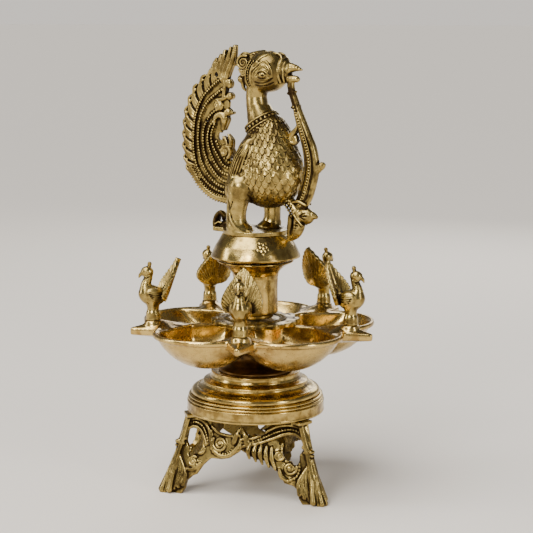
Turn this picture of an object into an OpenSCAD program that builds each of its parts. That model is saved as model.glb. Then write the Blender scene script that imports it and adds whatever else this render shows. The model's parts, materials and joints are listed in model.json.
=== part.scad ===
// Standing oil lamp with five bowls, five small peacocks and a large peacock on top.
// Millimetres. +Z is up and the floor is z = 0. The Z axis is the middle of the tie rod.
// The large peacock faces +X. Everything above the plinth is threaded on the tie rod.

/* [Stand] */
// Height of the stand from the floor to the underside of the plinth
stand_h = 62.4; // [58:0.1:66]
// Radius from the axis to the outside of each foot
foot_r = 74; // [70:0.5:78]
// Radius from the axis to the ridge of each leg at the top
leg_top_r = 53; // [51:0.5:54]
// Direction of the first foot, counted from +X
stand_turn = -17.2; // [-60:0.1:60]
// Thickness of the pierced side panels
panel_t = 3.6; // [3:0.1:5]

/* [Plinth and stem] */
// Largest radius of the plinth
plinth_r = 53.8; // [52:0.1:56]
// Height of the plinth
plinth_h = 31.6; // [31:0.1:33]
// Thickness of the plinth's wall
plinth_wall = 3; // [2.5:0.1:3.5]
// Height of the stem between the plinth and the tray
stem_h = 18; // [16:0.5:20]
// Radius of the stem where the tray rests on it
stem_top_r = 20; // [16:0.5:22]

/* [Tray] */
// Number of bowls, and of small peacocks between them
bowls = 5; // [5:1:5]
// Radius from the axis to the middle of each bowl
bowl_ring_r = 52; // [51:0.5:53]
// Radius of a bowl's outside at its rim
bowl_rim_r = 40; // [39:0.1:41]
// Depth of a bowl, measured outside
bowl_depth = 27.5; // [26:0.1:28.5]
// Thickness of a bowl's wall
bowl_wall = 2; // [1.6:0.1:2.6]
// Radius from the axis to the tip of each tab
tab_tip_r = 98; // [95:0.5:100]
// Direction of the first tab, counted from +X
tray_turn = 4; // [-36:0.1:36]
// Radius from the axis to each small peacock's spigot
finial_ring_r = 80; // [78:0.5:82]

/* [Column and cap] */
// Radius of the flower-shaped disc
disc_r = 34.5; // [33:0.1:36]
// Thickness of the flower-shaped disc
disc_t = 4.5; // [4:0.1:5]
// Radius of the column
column_r = 17.3; // [16:0.1:18]
// Height of the column with its flared top
column_h = 45; // [44:0.1:46]
// Largest radius of the cap
cap_r = 34.5; // [33:0.1:36]
// Height of the cap
cap_h = 20.3; // [19.5:0.1:21]
// Radius of the tie rod
rod_r = 3; // [2.5:0.1:3.5]

/* [Large peacock] */
// Radius of the round base under the peacock
base_r = 25.5; // [24:0.5:26]
// Sideways thickness of the tail plume
tail_t = 7; // [5:0.5:9]
// Sideways thickness of the garland that hangs from the beak
garland_t = 8; // [6:0.5:10]
// Distance of each leg from the middle of the bird
leg_y = 13; // [11:0.5:14]

/* [Hidden] */
$fn = 48;
// Radial clearance of a part that turns on a rod or a spigot
run_gap = 0.06;
// Gap between stacked parts that turn on each other
seat_gap = 0.3;
// Small screws: thread radius, clearance in the thread, and the round head
screw_r = 2;
screw_gap = 0.05;
screw_head_r = 3.6;
screw_head_t = 2.4;
// Thickness of the lug that each leg is screwed on by
lug_t = 3;
// The legs lean inwards, and their two panels open out at this angle from the leg's direction
panel_angle = 47.5;
leg_slope = atan2(foot_r - leg_top_r, stand_h);
panel_lean = asin(sin(leg_slope) * cos(panel_angle) / cos(asin(sin(leg_slope) * sin(panel_angle))));
boss_ring_r = 43.5;
plinth_top = stand_h + plinth_h;
stem_top = plinth_top + stem_h;
tray_z0 = stem_top + seat_gap;
tray_top = 131;
bowl_sphere_r = (bowl_rim_r * bowl_rim_r + bowl_depth * bowl_depth) / (2 * bowl_depth);
bowl_sphere_z = tray_top - bowl_depth + bowl_sphere_r;
seat_z = tray_top + 5;
// Height by which the very bottom of each bowl is flattened
bowl_flat = 0.12;
// Half the thickness of the wall between two bowls
divider_half = 1.8;
// Width and height of the lip round a bowl's rim
lip_w = 1.2;
lip_h = 2.4;
disc_top = tray_top + disc_t;
column_z = disc_top + seat_gap;
cap_z = column_z + column_h + seat_gap;
cap_top = cap_z + cap_h;
base_top = cap_top + 3.7;
spigot_r = 2.2;
spigot_len = 5;
figure_screw_x = 15;

// A smooth closed outline through hand-chosen points
function spline_point(a, b, c, d, t) =
    0.5 * (2 * b + (c - a) * t + (2 * a - 5 * b + 4 * c - d) * t * t
    + (3 * b - a - 3 * c + d) * t * t * t);
function closed_spline(p, steps) = [
    for (i = [0 : len(p) - 1])
        for (j = [0 : steps - 1])
            spline_point(p[(i + len(p) - 1) % len(p)], p[i], p[(i + 1) % len(p)],
                p[(i + 2) % len(p)], j / steps)
];

// An egg or ball of revolution, with its long axis along Z
module egg(half_length, radius, steps = 14) {
    rotate_extrude()
        polygon([for (i = [0 : steps])
            [radius * sin(180 * i / steps), -half_length * cos(180 * i / steps)]]);
}

// Everything on the outer side of the plane through three points, counted anticlockwise from above
module above_plane(a, b, c) {
    n = cross(b - a, c - a) / norm(cross(b - a, c - a));
    translate(a)
        rotate([0, acos(n[2]), atan2(n[1], n[0])])
            translate([-60, -60, 0])
                cube([120, 120, 40]);
}

// A hexagonal nut
module hex_nut(across_flats, height, hole_r) {
    difference() {
        cylinder(r = across_flats / sqrt(3), h = height, $fn = 6);
        translate([0, 0, -1])
            cylinder(r = hole_r, h = height + 2);
    }
}

// Outline of half of one pierced side: x runs along the side, y up the slope of the leg.
// The full half has a high arch, the open half leaves a gap under the plinth.
full_side = [[0, 0], [10, 0], [14, 7], [22, 13], [31, 15], [34, 20], [39, 21], [46, 28],
    [55, 31], [66, 38], [66, 57], [62, 57], [59, 50], [55, 52], [50, 59], [44, 63], [14, 63]];
open_side = [[0, 0], [10, 0], [14, 7], [22, 12], [29, 14], [31, 20], [37, 23], [45, 26],
    [56, 31], [66, 38], [66, 57], [62, 57], [59, 50], [50, 48], [43, 49], [38, 54],
    [33, 63], [14, 63]];

// One half side, leaning inwards with the leg's ridge along its outer edge
module half_side(outline) {
    translate([foot_r, 0, 0])
        rotate([0, 0, 90 + panel_angle])
            rotate([90 - panel_lean, 0, 0])
                translate([0, 0, -panel_t])
                    linear_extrude(panel_t)
                        difference() {
                            polygon(outline);
                            translate([24, 37])
                                circle(r = 8);
                            translate([20.5, 55.5])
                                circle(r = 2.6);
                            translate([45, 41])
                                circle(r = 2.2);
                        }
}

// A leg with its foot, ridge, screw lug and two half sides; it meets the next leg face to face
module stand_leg(number) {
    color("darkgoldenrod")
        rotate([0, 0, stand_turn + 120 * number])
            difference() {
                intersection() {
                    union() {
                        half_side(open_side);
                        mirror([0, 1, 0])
                            half_side(full_side);
                        translate([foot_r - 4.5, 0, -3])
                            rotate([0, -leg_slope, 0])
                                cylinder(r = 3.4, h = 90);
                        translate([foot_r - 8, 0, -3])
                            rotate([0, -leg_slope, 0])
                                cylinder(r1 = 9.5, r2 = 5, h = 27);
                        translate([boss_ring_r - 6, -6, stand_h - lug_t])
                            cube([15, 12, lug_t]);
                    }
                    linear_extrude(stand_h)
                        polygon([[0, 0], [75, 75 * tan(60)], [160, 0], [75, -75 * tan(60)]]);
                }
                translate([boss_ring_r, 0, stand_h - 10])
                    cylinder(r = screw_r + 0.3, h = 20);
                translate([boss_ring_r, 0, stand_h - lug_t - 5])
                    cylinder(r = screw_head_r + 0.3, h = 5);
            }
}

// Three screws that hold the legs to the plinth from below
module stand_screws() {
    color("gray")
        for (k = [0 : 2])
            rotate([0, 0, stand_turn + 120 * k])
                translate([boss_ring_r, 0, 0]) {
                    translate([0, 0, stand_h - lug_t - screw_head_t])
                        cylinder(r = screw_head_r, h = screw_head_t);
                    translate([0, 0, stand_h - lug_t - 0.1])
                        cylinder(r = screw_r - screw_gap, h = 13);
                }
}

// Moulded plinth: a hollow casting, open below, with a thick middle for the stem
module plinth() {
    color("goldenrod")
        difference() {
            union() {
                rotate_extrude()
                    translate([0, stand_h])
                        difference() {
                            polygon([[0, 0], [plinth_r, 0], [plinth_r, 8], [plinth_r - 1.4, 8.4],
                                [plinth_r - 0.6, 9.8], [plinth_r - 1.4, 11.2],
                                [plinth_r - 1.2, 12.6], [plinth_r - 3, 13.6],
                                [plinth_r - 4.2, 15.4], [plinth_r - 5.2, 17.6],
                                [plinth_r - 8.4, 18.9], [plinth_r - 11.4, 20.6],
                                [plinth_r - 13, 23], [plinth_r - 13, 24.4],
                                [plinth_r - 17, 26], [plinth_r - 19, 27.5],
                                [plinth_r - 19, plinth_h], [0, plinth_h]]);
                            polygon([[-1, -1], [plinth_r - plinth_wall, -1],
                                [plinth_r - plinth_wall, 11], [plinth_r - 9, 15.5],
                                [plinth_r - 17, 20.5], [plinth_r - 23, 25], [-1, 25]]);
                        }
                for (k = [0 : 2])
                    rotate([0, 0, stand_turn + 120 * k])
                        translate([boss_ring_r, 0, stand_h])
                            cylinder(r = 4.5, h = 17);
            }
            for (k = [0 : 2])
                rotate([0, 0, stand_turn + 120 * k])
                    translate([boss_ring_r, 0, stand_h - 1])
                        cylinder(r = screw_r, h = 13);
            translate([0, 0, stand_h])
                cylinder(r = 8, h = 60);
        }
}

// Waisted stem; its spigot goes down through the plinth and takes the stem nut
module lower_stem() {
    color("sienna")
        rotate_extrude()
            polygon([[rod_r + run_gap, plinth_top - 12], [7.9, plinth_top - 12],
                [7.9, plinth_top], [29, plinth_top], [27.5, plinth_top + 2],
                [19, plinth_top + 6], [16, plinth_top + 10], [16.5, plinth_top + 14],
                [stem_top_r, stem_top - 1], [stem_top_r, stem_top],
                [rod_r + run_gap, stem_top]]);
}

module stem_nut() {
    color("gray")
        translate([0, 0, plinth_top - 11.6])
            hex_nut(24, 5, 7.95);
}

// Rod that clamps the stack together, with a round head inside the cap's boss
module tie_rod() {
    color("gray")
        translate([0, 0, plinth_top - 19])
            cylinder(r = rod_r, h = cap_top - 6 - (plinth_top - 19));
}

module tie_nut() {
    color("gray")
        translate([0, 0, plinth_top - 17])
            hex_nut(11, 5, rod_r + screw_gap);
}

// One pointed tab, faceted, with a round seat for a small peacock
module tray_tab() {
    ridge = [finial_ring_r - 5, 0, seat_z + 0.3];
    tip = [tab_tip_r, 0, tray_top - 0.5];
    side_l = [68, 15, tray_top + 0.2];
    side_r = [68, -15, tray_top + 0.2];
    root = [54, 0, tray_top];
    difference() {
        translate([0, 0, tray_top - 6])
            linear_extrude(12)
                polygon([[50, 0], [68, 15.5], [72, 15], [tab_tip_r, 0.8], [tab_tip_r, -0.8],
                    [72, -15], [68, -15.5]]);
        above_plane(ridge, tip, side_l);
        above_plane(tip, ridge, side_r);
        above_plane(ridge, side_l, root);
        above_plane(ridge, root, side_r);
    }
    translate([finial_ring_r, 0, tray_top - 3])
        rotate([0, 0, 40])
            cylinder(r = 6.4, h = seat_z - tray_top + 3);
}

// Part of a ball round the bowl's centre, flat at the bottom, up to the height given
module bowl_ball(radius, top) {
    bottom = bowl_sphere_z - radius + bowl_flat;
    rotate_extrude()
        intersection() {
            translate([0, bowl_sphere_z])
                circle(r = radius);
            translate([0, bottom])
                square([radius + 1, top - bottom]);
        }
}

// A point of the plane turned about the origin
function turned(point, angle) = [point[0] * cos(angle) - point[1] * sin(angle),
    point[0] * sin(angle) + point[1] * cos(angle)];

// Edge of a bowl's hollow along the wall beside it, which widens into the root of a tab
divider_edge = [[29, -divider_half], [50, -divider_half], [66, -14], [104, -44]];

// Inside of one bowl along +X, between its two walls and the hub
module bowl_hollow() {
    intersection() {
        translate([bowl_ring_r, 0, 0])
            bowl_ball(bowl_sphere_r - bowl_wall, tray_top + 10);
        translate([0, 0, tray_top - 35])
            linear_extrude(50)
                polygon([for (i = [0 : 3]) turned(divider_edge[i], 36),
                    for (i = [3 : -1 : 0]) let (p = turned(divider_edge[i], 36)) [p[0], -p[1]]]);
    }
}

// Outsides of the five bowls, and the lips round their rims
module bowl_outsides() {
    for (k = [0 : bowls - 1])
        rotate([0, 0, tray_turn + 36 + 72 * k])
            translate([bowl_ring_r, 0, 0])
                bowl_ball(bowl_sphere_r, tray_top);
    for (k = [0 : bowls - 1])
        rotate([0, 0, tray_turn + 36 + 72 * k])
            translate([bowl_ring_r, 0, tray_top - lip_h])
                cylinder(r = bowl_rim_r + lip_w, h = lip_h);
}

// Tray cast in one: five bowls with walls between them, the hub and five tabs
module oil_tray() {
    color("gold")
        difference() {
            union() {
                bowl_outsides();
                translate([0, 0, tray_z0])
                    cylinder(r1 = stem_top_r + 1, r2 = 22.5, h = tray_top - tray_z0);
                for (k = [0 : bowls - 1])
                    rotate([0, 0, tray_turn + 72 * k])
                        tray_tab();
            }
            for (k = [0 : bowls - 1])
                rotate([0, 0, tray_turn + 36 + 72 * k])
                    bowl_hollow();
            translate([0, 0, 100])
                cylinder(r = rod_r + run_gap, h = 60);
            for (k = [0 : bowls - 1])
                rotate([0, 0, tray_turn + 72 * k])
                    translate([finial_ring_r, 0, seat_z - spigot_len - 0.5])
                        cylinder(r = spigot_r + run_gap, h = 20);
        }
}

// Flower-shaped disc with twelve petals, a raised ring and a hole for the tie rod
module lotus_disc() {
    color("peru")
        difference() {
            union() {
                translate([0, 0, tray_top])
                    linear_extrude(disc_t - 1)
                        union() {
                            circle(r = disc_r - 6);
                            for (k = [0 : 11])
                                rotate(30 * k)
                                    translate([disc_r - 8.5, 0])
                                        circle(r = 8.5);
                        }
                translate([0, 0, tray_top])
                    cylinder(r = 24, h = disc_t);
            }
            translate([0, 0, tray_top - 1])
                cylinder(r = rod_r + run_gap, h = 20);
        }
}

// Hollow column with a narrow neck below and a flared, open top
module column() {
    color("saddlebrown")
        rotate_extrude()
            translate([0, column_z])
                polygon([[rod_r + run_gap, 0], [14, 0], [14, 3.2], [column_r, 3.7],
                    [column_r, 31], [column_r + 0.8, 34.5], [column_r + 3, 37.8],
                    [column_r + 7, 40.6], [column_r + 10.2, 42.8], [column_r + 12.5, column_h],
                    [column_r + 9.5, column_h], [column_r + 4, 42], [column_r - 1, 38],
                    [column_r - 3.5, 33], [column_r - 3.5, 7.5], [rod_r + run_gap, 7.5]]);
}

// Cap: a hollow truncated cone with a threaded boss that screws on the tie rod
module cap() {
    color("gold")
        difference() {
            rotate_extrude()
                translate([0, cap_z])
                    polygon([[cap_r - 4.4, 0], [cap_r, 2.3], [cap_r - 1.6, 7],
                        [cap_r - 3.6, 11.5], [cap_r - 6.7, 16.2], [base_r, cap_h],
                        [rod_r + run_gap, cap_h], [rod_r + run_gap, 4], [8, 4],
                        [9, cap_h - 4.5], [base_r - 6, cap_h - 4.5], [cap_r - 8, 12],
                        [cap_r - 5, 4], [cap_r - 7.6, 0]]);
            for (s = [-1, 1])
                translate([s * figure_screw_x, 0, cap_top - 10])
                    cylinder(r = screw_r + 0.3, h = 20);
        }
}

// Two screws that hold the large peacock to the cap, put in from inside the cap
module figure_screws() {
    color("gray")
        for (s = [-1, 1])
            translate([s * figure_screw_x, 0, 0]) {
                translate([0, 0, cap_top - 4.5 - screw_head_t])
                    cylinder(r = screw_head_r, h = screw_head_t);
                translate([0, 0, cap_top - 4.6])
                    cylinder(r = screw_r - screw_gap, h = 7);
            }
}

// One leg of the large peacock, with its foot
module bird_leg(x, side) {
    translate([x, side * leg_y, base_top - 1])
        cylinder(r1 = 9, r2 = 6, h = 5);
    translate([x, side * leg_y, base_top])
        rotate([side * 12, 4, 0])
            cylinder(r1 = 6, r2 = 8.5, h = 28);
}

// Body of the large peacock with its neck, head, crest, legs, base and rear scroll
module peacock_body() {
    color("darkgoldenrod")
        difference() {
            union() {
                translate([0, 0, cap_top])
                    cylinder(r = base_r, h = base_top - cap_top);
                translate([-34, -6, cap_top])
                    cube([34, 12, base_top - cap_top]);
                translate([-29, 5, cap_top + 11])
                    rotate([90, 0, 0])
                        cylinder(r = 5.5, h = 10);
                translate([-34, -4, base_top - 1])
                    cube([9, 8, 8]);
                bird_leg(-7, -1);
                bird_leg(4, 1);
                translate([9, 0, 250])
                    rotate([0, 55, 0])
                        egg(35, 22.5);
                translate([-15, 0, 233])
                    rotate([0, 30, 0])
                        egg(18, 11);
                translate([9, 0, 268])
                    rotate([0, -16, 0])
                        cylinder(r1 = 16, r2 = 7.8, h = 33);
                translate([0.5, 0, 298])
                    cylinder(r = 7.9, h = 22);
                translate([9, 0, 325])
                    rotate([0, 80, 0])
                        egg(18.5, 15);
                translate([23, 0, 323.5])
                    rotate([0, 76, 0])
                        cylinder(r1 = 8, r2 = 1.3, h = 17);
                translate([23, 0, 321])
                    rotate([0, 92, 0])
                        cylinder(r1 = 6, r2 = 1.6, h = 13);
                translate([-8.5, 4, 331])
                    rotate([90, 0, 0])
                        cylinder(r = 6.5, h = 8);
                translate([-11, 0, 318])
                    egg(6.5, 4);
            }
            for (s = [-1, 1])
                translate([s * figure_screw_x, 0, cap_top - 1])
                    cylinder(r = screw_r, h = 4.2);
        }
}

// Tail plume: a pierced plate in the middle plane of the bird, rising from the rump to the crest
module tail_plume() {
    outline = [[-20, 221], [-38, 226], [-52, 237], [-61, 250], [-65, 265], [-64.5, 282],
        [-61, 297], [-54, 312], [-44, 327], [-31, 339], [-19, 345], [-15, 343], [-18, 330],
        [-23, 320], [-18, 306], [-21, 299], [-18, 293], [-22, 286], [-26, 277], [-18, 268],
        [-20, 258], [-23, 251], [-18, 242], [-14, 232]];
    slots = [[[-50, 255], [-54, 268], [-54, 284], [-49, 301], [-44, 309], [-47, 300],
            [-51, 284], [-51, 268]],
        [[-41, 251], [-45, 266], [-45, 282], [-40, 298], [-33, 306], [-36, 297],
            [-41, 281], [-41, 266]],
        [[-31, 252], [-35, 263], [-34, 276], [-28, 270], [-31, 262]]];
    color("olive")
        translate([0, tail_t / 2, 0])
            rotate([90, 0, 0])
                linear_extrude(tail_t)
                    difference() {
                        polygon(closed_spline(outline, 3));
                        for (s = slots)
                            polygon(closed_spline(s, 3));
                    }
}

// Garland that hangs from the beak, touches the breast and ends in a leaf over the cap's edge
module beak_garland() {
    outline = [[31, 321], [36.5, 321], [37, 312], [38, 298], [42, 289], [48, 278], [53, 263],
        [58.5, 258], [58.5, 253], [54, 249], [51.5, 236], [48, 225], [52, 219], [50, 213],
        [43, 209], [41, 203], [34, 197], [29, 197], [28, 210], [29, 219], [31, 228],
        [38, 237], [42, 247], [43.5, 258], [41, 269], [34, 275], [32, 284], [34, 291],
        [31, 299], [30.5, 311]];
    color("olive")
        translate([0, garland_t / 2, 0])
            rotate([90, 0, 0])
                linear_extrude(garland_t)
                    polygon(closed_spline(outline, 3));
}

// A small peacock that faces outwards; its spigot turns in the tab's hole
module finial(number) {
    color("darkgoldenrod")
        rotate([0, 0, tray_turn + 72 * (number - 1)])
            translate([finial_ring_r, 0, seat_z + seat_gap]) {
                translate([0, 0, -spigot_len - seat_gap])
                    cylinder(r = spigot_r, h = spigot_len + 3);
                rotate_extrude()
                    polygon([[0, 0], [5.6, 0], [5.6, 1.4], [4.6, 3], [4.2, 6], [4.8, 10],
                        [4.8, 13], [0, 13]]);
                translate([0.5, 0, 16.5])
                    rotate([0, 80, 0])
                        egg(9.2, 7.2);
                translate([4.5, 0, 18])
                    rotate([0, -6, 0])
                        cylinder(r1 = 4.4, r2 = 2.9, h = 14);
                translate([3.4, 0, 32.5])
                    egg(4.6, 4);
                translate([4.5, 0, 32.5])
                    rotate([0, 118, 0])
                        cylinder(r1 = 2.6, r2 = 0.7, h = 6.4);
                translate([2, 0, 36])
                    cylinder(r = 1.6, h = 3);
                translate([-7, 0, 14])
                    rotate([0, -20, 0])
                        rotate([90, 0, -90])
                            linear_extrude(2.4)
                                polygon(closed_spline([[-3, 0], [-13.5, 8.5], [-11.5, 18],
                                    [0, 30], [11.5, 18], [13.5, 8.5], [3, 0]], 3));
            }
}

stand_leg(0);  // stand_leg_right
stand_leg(1);  // stand_leg_rear
stand_leg(2);  // stand_leg_left
stand_screws();
plinth();
lower_stem();
stem_nut();
tie_rod();
tie_nut();
oil_tray();
lotus_disc();
column();
cap();
figure_screws();
peacock_body();
tail_plume();
beak_garland();
finial(1);  // finial_1
finial(2);  // finial_2
finial(3);  // finial_3
finial(4);  // finial_4
finial(5);  // finial_5
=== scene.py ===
"""Standing oil lamp with five bowls and peacocks: the looks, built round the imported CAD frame.

Ornament is built as signed distance fields on regular grids, in millimetres, and meshed from them.
Turned parts are revolved profiles. All meshes are scaled to metres when they become objects.
"""

import json
import math

import bpy
import numpy as np
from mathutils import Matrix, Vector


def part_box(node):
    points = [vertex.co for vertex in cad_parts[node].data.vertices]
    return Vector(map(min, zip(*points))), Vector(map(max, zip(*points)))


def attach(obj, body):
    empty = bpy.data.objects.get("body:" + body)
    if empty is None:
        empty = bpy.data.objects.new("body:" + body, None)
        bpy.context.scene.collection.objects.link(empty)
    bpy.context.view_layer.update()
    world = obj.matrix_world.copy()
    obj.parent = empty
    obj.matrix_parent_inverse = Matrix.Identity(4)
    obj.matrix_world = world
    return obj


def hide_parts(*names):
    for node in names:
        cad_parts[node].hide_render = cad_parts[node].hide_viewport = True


MM = 0.001
FAR = 9.0  # distance, in millimetres, that stands for "nothing near"

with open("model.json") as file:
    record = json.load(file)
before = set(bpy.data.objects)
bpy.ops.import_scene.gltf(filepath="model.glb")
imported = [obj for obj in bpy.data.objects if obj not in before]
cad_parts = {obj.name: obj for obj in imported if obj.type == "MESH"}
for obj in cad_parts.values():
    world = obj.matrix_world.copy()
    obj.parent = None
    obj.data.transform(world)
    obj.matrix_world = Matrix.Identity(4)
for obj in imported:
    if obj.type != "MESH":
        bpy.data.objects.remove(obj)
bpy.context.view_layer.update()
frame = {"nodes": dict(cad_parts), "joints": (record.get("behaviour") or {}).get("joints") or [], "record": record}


# ---------------------------------------------------------------- places taken from the frame


def box_mm(node):
    """Lowest and highest corner of a CAD node in millimetres."""
    low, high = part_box(node)
    return np.array(low) / MM, np.array(high) / MM


def mount_mm(name):
    """Place of one of the record's mounts in millimetres."""
    found = [m for m in frame["record"]["mounts"] if m["name"] == name]
    return np.array(found[0]["pos_m"], float) / MM


PLINTH_Z = box_mm("plinth")[0][2]
PLINTH_TOP = box_mm("plinth")[1][2]
STEM_TOP = box_mm("lower_stem")[1][2]
TRAY_TOP = box_mm("lotus_disc")[0][2]
COLUMN_Z, COLUMN_TOP = (v[2] for v in box_mm("column"))
CAP_Z, CAP_TOP = (v[2] for v in box_mm("cap"))
FOOT_TURNS = {
    name: math.atan2(mount_mm(mount)[1], mount_mm(mount)[0])
    for name, mount in (
        ("stand_leg_right", "foot_right"),
        ("stand_leg_rear", "foot_rear"),
        ("stand_leg_left", "foot_left"),
    )
}
PEACOCK_SEATS = {
    j["child"]: np.array(j["pos_m"], float) / MM
    for j in frame["joints"]
    if j["child"].startswith("small_peacock")
}
TRAY_TURN = math.atan2(PEACOCK_SEATS["small_peacock_1"][1], PEACOCK_SEATS["small_peacock_1"][0])
TAB_STEP = math.tau / 5
LEG_STEP = math.tau / 3


# ---------------------------------------------------------------- curves


def smooth_path(points, count, values=None):
    """Evenly spaced points along a Catmull-Rom curve, and a value blended along it."""
    p = np.asarray(points, float)
    ends = np.vstack([2 * p[0] - p[1], p, 2 * p[-1] - p[-2]])
    t = np.linspace(0, len(p) - 1, 8 * len(p) + 1)
    i = np.minimum(t.astype(int), len(p) - 2)
    f = (t - i)[:, None]
    a, b, c, d = (ends[i + k] for k in range(4))
    curve = 0.5 * (
        2 * b + (c - a) * f + (2 * a - 5 * b + 4 * c - d) * f**2 + (3 * b - a - 3 * c + d) * f**3
    )
    length = np.r_[0, np.cumsum(np.linalg.norm(np.diff(curve, axis=0), axis=1))]
    at = np.linspace(0, length[-1], count)
    path = np.column_stack([np.interp(at, length, curve[:, k]) for k in range(3)])
    if values is None:
        return path
    knots = np.linspace(0, len(p) - 1, len(values))
    return path, np.interp(np.interp(at, length, t), knots, values)


def path_length(points):
    p = smooth_path(points, 60)
    return float(np.linalg.norm(np.diff(p, axis=0), axis=1).sum())


def spiral(centre, radius, turns, start, across, up, inner=0.12):
    """A scroll's line that winds inwards; across and up are the two directions of its plane."""
    count = int(10 * turns) + 2
    t = np.linspace(0, 1, count)
    angle = math.radians(start) + math.tau * turns * t
    r = radius * (1 - (1 - inner) * t**0.8)
    return (
        np.asarray(centre, float)
        + np.outer(r * np.cos(angle), across)
        + np.outer(r * np.sin(angle), up)
    )


def both_sides(points):
    """A line and its mirror image in the plane y = 0."""
    p = np.asarray(points, float)
    return p, p * (1, -1, 1)


def turn_about(axis, degrees):
    """Rotation matrix about X (0), Y (1) or Z (2)."""
    a, b = (axis + 1) % 3, (axis + 2) % 3
    m = np.eye(3)
    c, s = math.cos(math.radians(degrees)), math.sin(math.radians(degrees))
    m[a, a], m[a, b], m[b, a], m[b, b] = c, -s, s, c
    return m


# ---------------------------------------------------------------- distance fields


def soft_min(a, b, blend):
    if blend <= 0:
        return np.minimum(a, b)
    h = np.maximum(blend - np.abs(a - b), 0) / blend
    return np.minimum(a, b) - h * h * blend / 4


def outline_distance(x, y, outline):
    """Distance in a plane to a closed outline, negative inside it."""
    p = np.asarray(outline, float)
    nearest = np.full(np.broadcast(x, y).shape, 1e9)
    inside = np.zeros(nearest.shape, bool)
    for a, b in zip(p, np.roll(p, 1, axis=0)):
        e = b - a
        wx, wy = x - a[0], y - a[1]
        t = np.clip((wx * e[0] + wy * e[1]) / max(e @ e, 1e-9), 0, 1)
        nearest = np.minimum(nearest, (wx - e[0] * t) ** 2 + (wy - e[1] * t) ** 2)
        above, below, left = y >= a[1], y < b[1], e[0] * wy > e[1] * wx
        inside ^= (above & below & left) | ~(above | below | left)
    return np.where(inside, -1, 1) * np.sqrt(nearest)


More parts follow.
